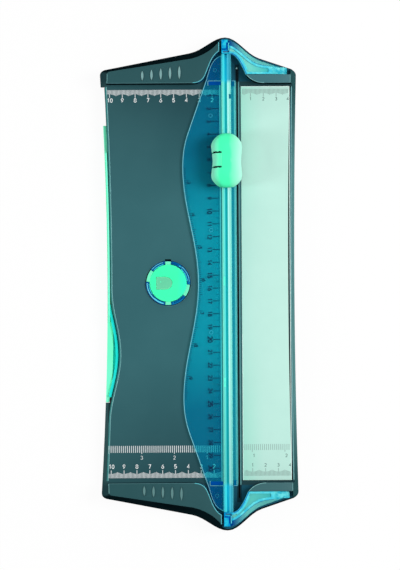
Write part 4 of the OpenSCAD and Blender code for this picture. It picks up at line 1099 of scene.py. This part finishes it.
# %% [markdown]
# The tab of the cutter head is a tongue between two slots that bends at its root. The slots are in
# shade, so each has a black liner just below the surface, a painted shade, and the root has its thin
# bending web.
# Both must follow the rounded cover, so the cover's own height is read with rays from above.

# %% Head details
from mathutils.bvhtree import BVHTree


def surface(name):
    """A reader of a solid's height: x and y in mm to z in mm, seen from above."""
    mesh = nodes[name].data
    tree = BVHTree.FromPolygons([v.co.copy() for v in mesh.vertices], [p.vertices[:] for p in mesh.polygons])

    def height(x, y):
        spot = tree.ray_cast(Vector((x * MM, y * MM, 1.0)), Vector((0, 0, -1)))[0]
        return spot.z / MM if spot else 0.0
    return height


HEAD_Y, TAB_HALF, SLOT, TAB_ROOT = 94.5, 5.0, 1.0, 17.9
cover_height, tab_height = surface("head_cover"), surface("release_tab")
carriage_height = surface("slide_carriage")
PRESS = 3.0


def block_between(bm, sections):
    """A closed strip through cross-sections of equal size, each a list of points in mm."""
    rings = [[bm.verts.new(Vector(p) * MM) for p in section] for section in sections]
    count = len(rings[0])
    for first, second in zip(rings, rings[1:]):
        for k in range(count):
            bm.faces.new((first[k], first[(k + 1) % count], second[(k + 1) % count], second[k]))
    bm.faces.new(rings[0][::-1])
    bm.faces.new(rings[-1])


bm = bmesh.new()
for side in (-1, 1):
    inner, outer = HEAD_Y + side * (TAB_HALF + 0.1), HEAD_Y + side * (TAB_HALF + SLOT - 0.1)
    sections = []
    for x in (11.6, 12.2, 13.2, 14.4, 15.8, 17.0, TAB_ROOT + 0.05):
        brim = outer + side * 0.5
        top = max(cover_height(x, spot) for spot in (outer + side * 0.12, brim + side * 0.02)) + 0.05
        inner_top = min(top, tab_height(min(x, TAB_ROOT - 0.3), inner - side * 0.3)) - 0.1
        under = max(carriage_height(x + step, y) for step in (-0.7, 0, 0.7) for y in (inner, outer, brim))
        low = min(max(24.0, under + PRESS + 0.4), inner_top - 0.5)
        sections.append([(x, inner, low), (x, outer, low), (x, brim, top), (x, inner, inner_top)])
    block_between(bm, sections)
# A painted shade: the black of the slot liners.
slot_shade_black = moulded(
    "slot_shade_black", tone(2, 5, 6), tone(4, 8, 9), tone(10, 18, 20), gloss=(0.6, 0.7), **{"Specular IOR Level": 0.0}
)
print_piece("slot_shade_liners", bm, slot_shade_black, "cutter_head")

bm = bmesh.new()
sections = []
for i in range(11):
    y = HEAD_Y + TAB_HALF * (i / 5 - 1)
    left, right = tab_height(TAB_ROOT - 0.25, y), cover_height(TAB_ROOT + 0.25, y)
    sections.append([(TAB_ROOT - 0.13, y, left - 1), (TAB_ROOT + 0.14, y, right - 1), (TAB_ROOT + 0.14, y, right), (TAB_ROOT - 0.13, y, left)])
block_between(bm, sections)
print_piece("tab_bending_web", bm, head_mint, "cutter_head")

# %% [markdown]
# Two wound springs lift the cutter head. A rigid coil would stick through the cover when the head is
# pressed; each stands here as a fresh winding that rides on the carriage.

# %% Press springs
WIRE, TURNS, TURN_STEPS = 0.35, 6, 20
spring_low, spring_high = [Vector(corner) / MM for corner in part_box("press_springs")]
outer = (spring_high.x - spring_low.x) / 2
bm = bmesh.new()
for y in (spring_low.y + outer, spring_high.y - outer):
    middle = Vector((spring_low.x + outer, y, 0))
    sections = []
    for i in range(TURNS * TURN_STEPS + 1):
        turn = 2 * math.pi * i / TURN_STEPS
        away = Vector((math.cos(turn), math.sin(turn), 0))
        height = mix(spring_low.z + WIRE, spring_high.z - WIRE, i / (TURNS * TURN_STEPS))
        centre = middle + away * (outer - WIRE) + Vector((0, 0, height))
        ring = [math.radians(45 * k) for k in range(8)]
        sections.append([centre + (away * math.cos(a) + Vector((0, 0, math.sin(a)))) * WIRE for a in ring])
    block_between(bm, sections)
springs = print_piece("wound_springs", bm, steel, "carriage")
springs.data.polygons.foreach_set("use_smooth", [True] * len(springs.data.polygons))
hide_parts("press_springs")
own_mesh(springs)

# %% [markdown]
# Last, the size of everything shown is printed.

# %% Sizes and finish
bpy.context.view_layer.update()
low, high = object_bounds()
print("visual box in mm:", [round((b - a) / MM, 1) for a, b in zip(low, high)])
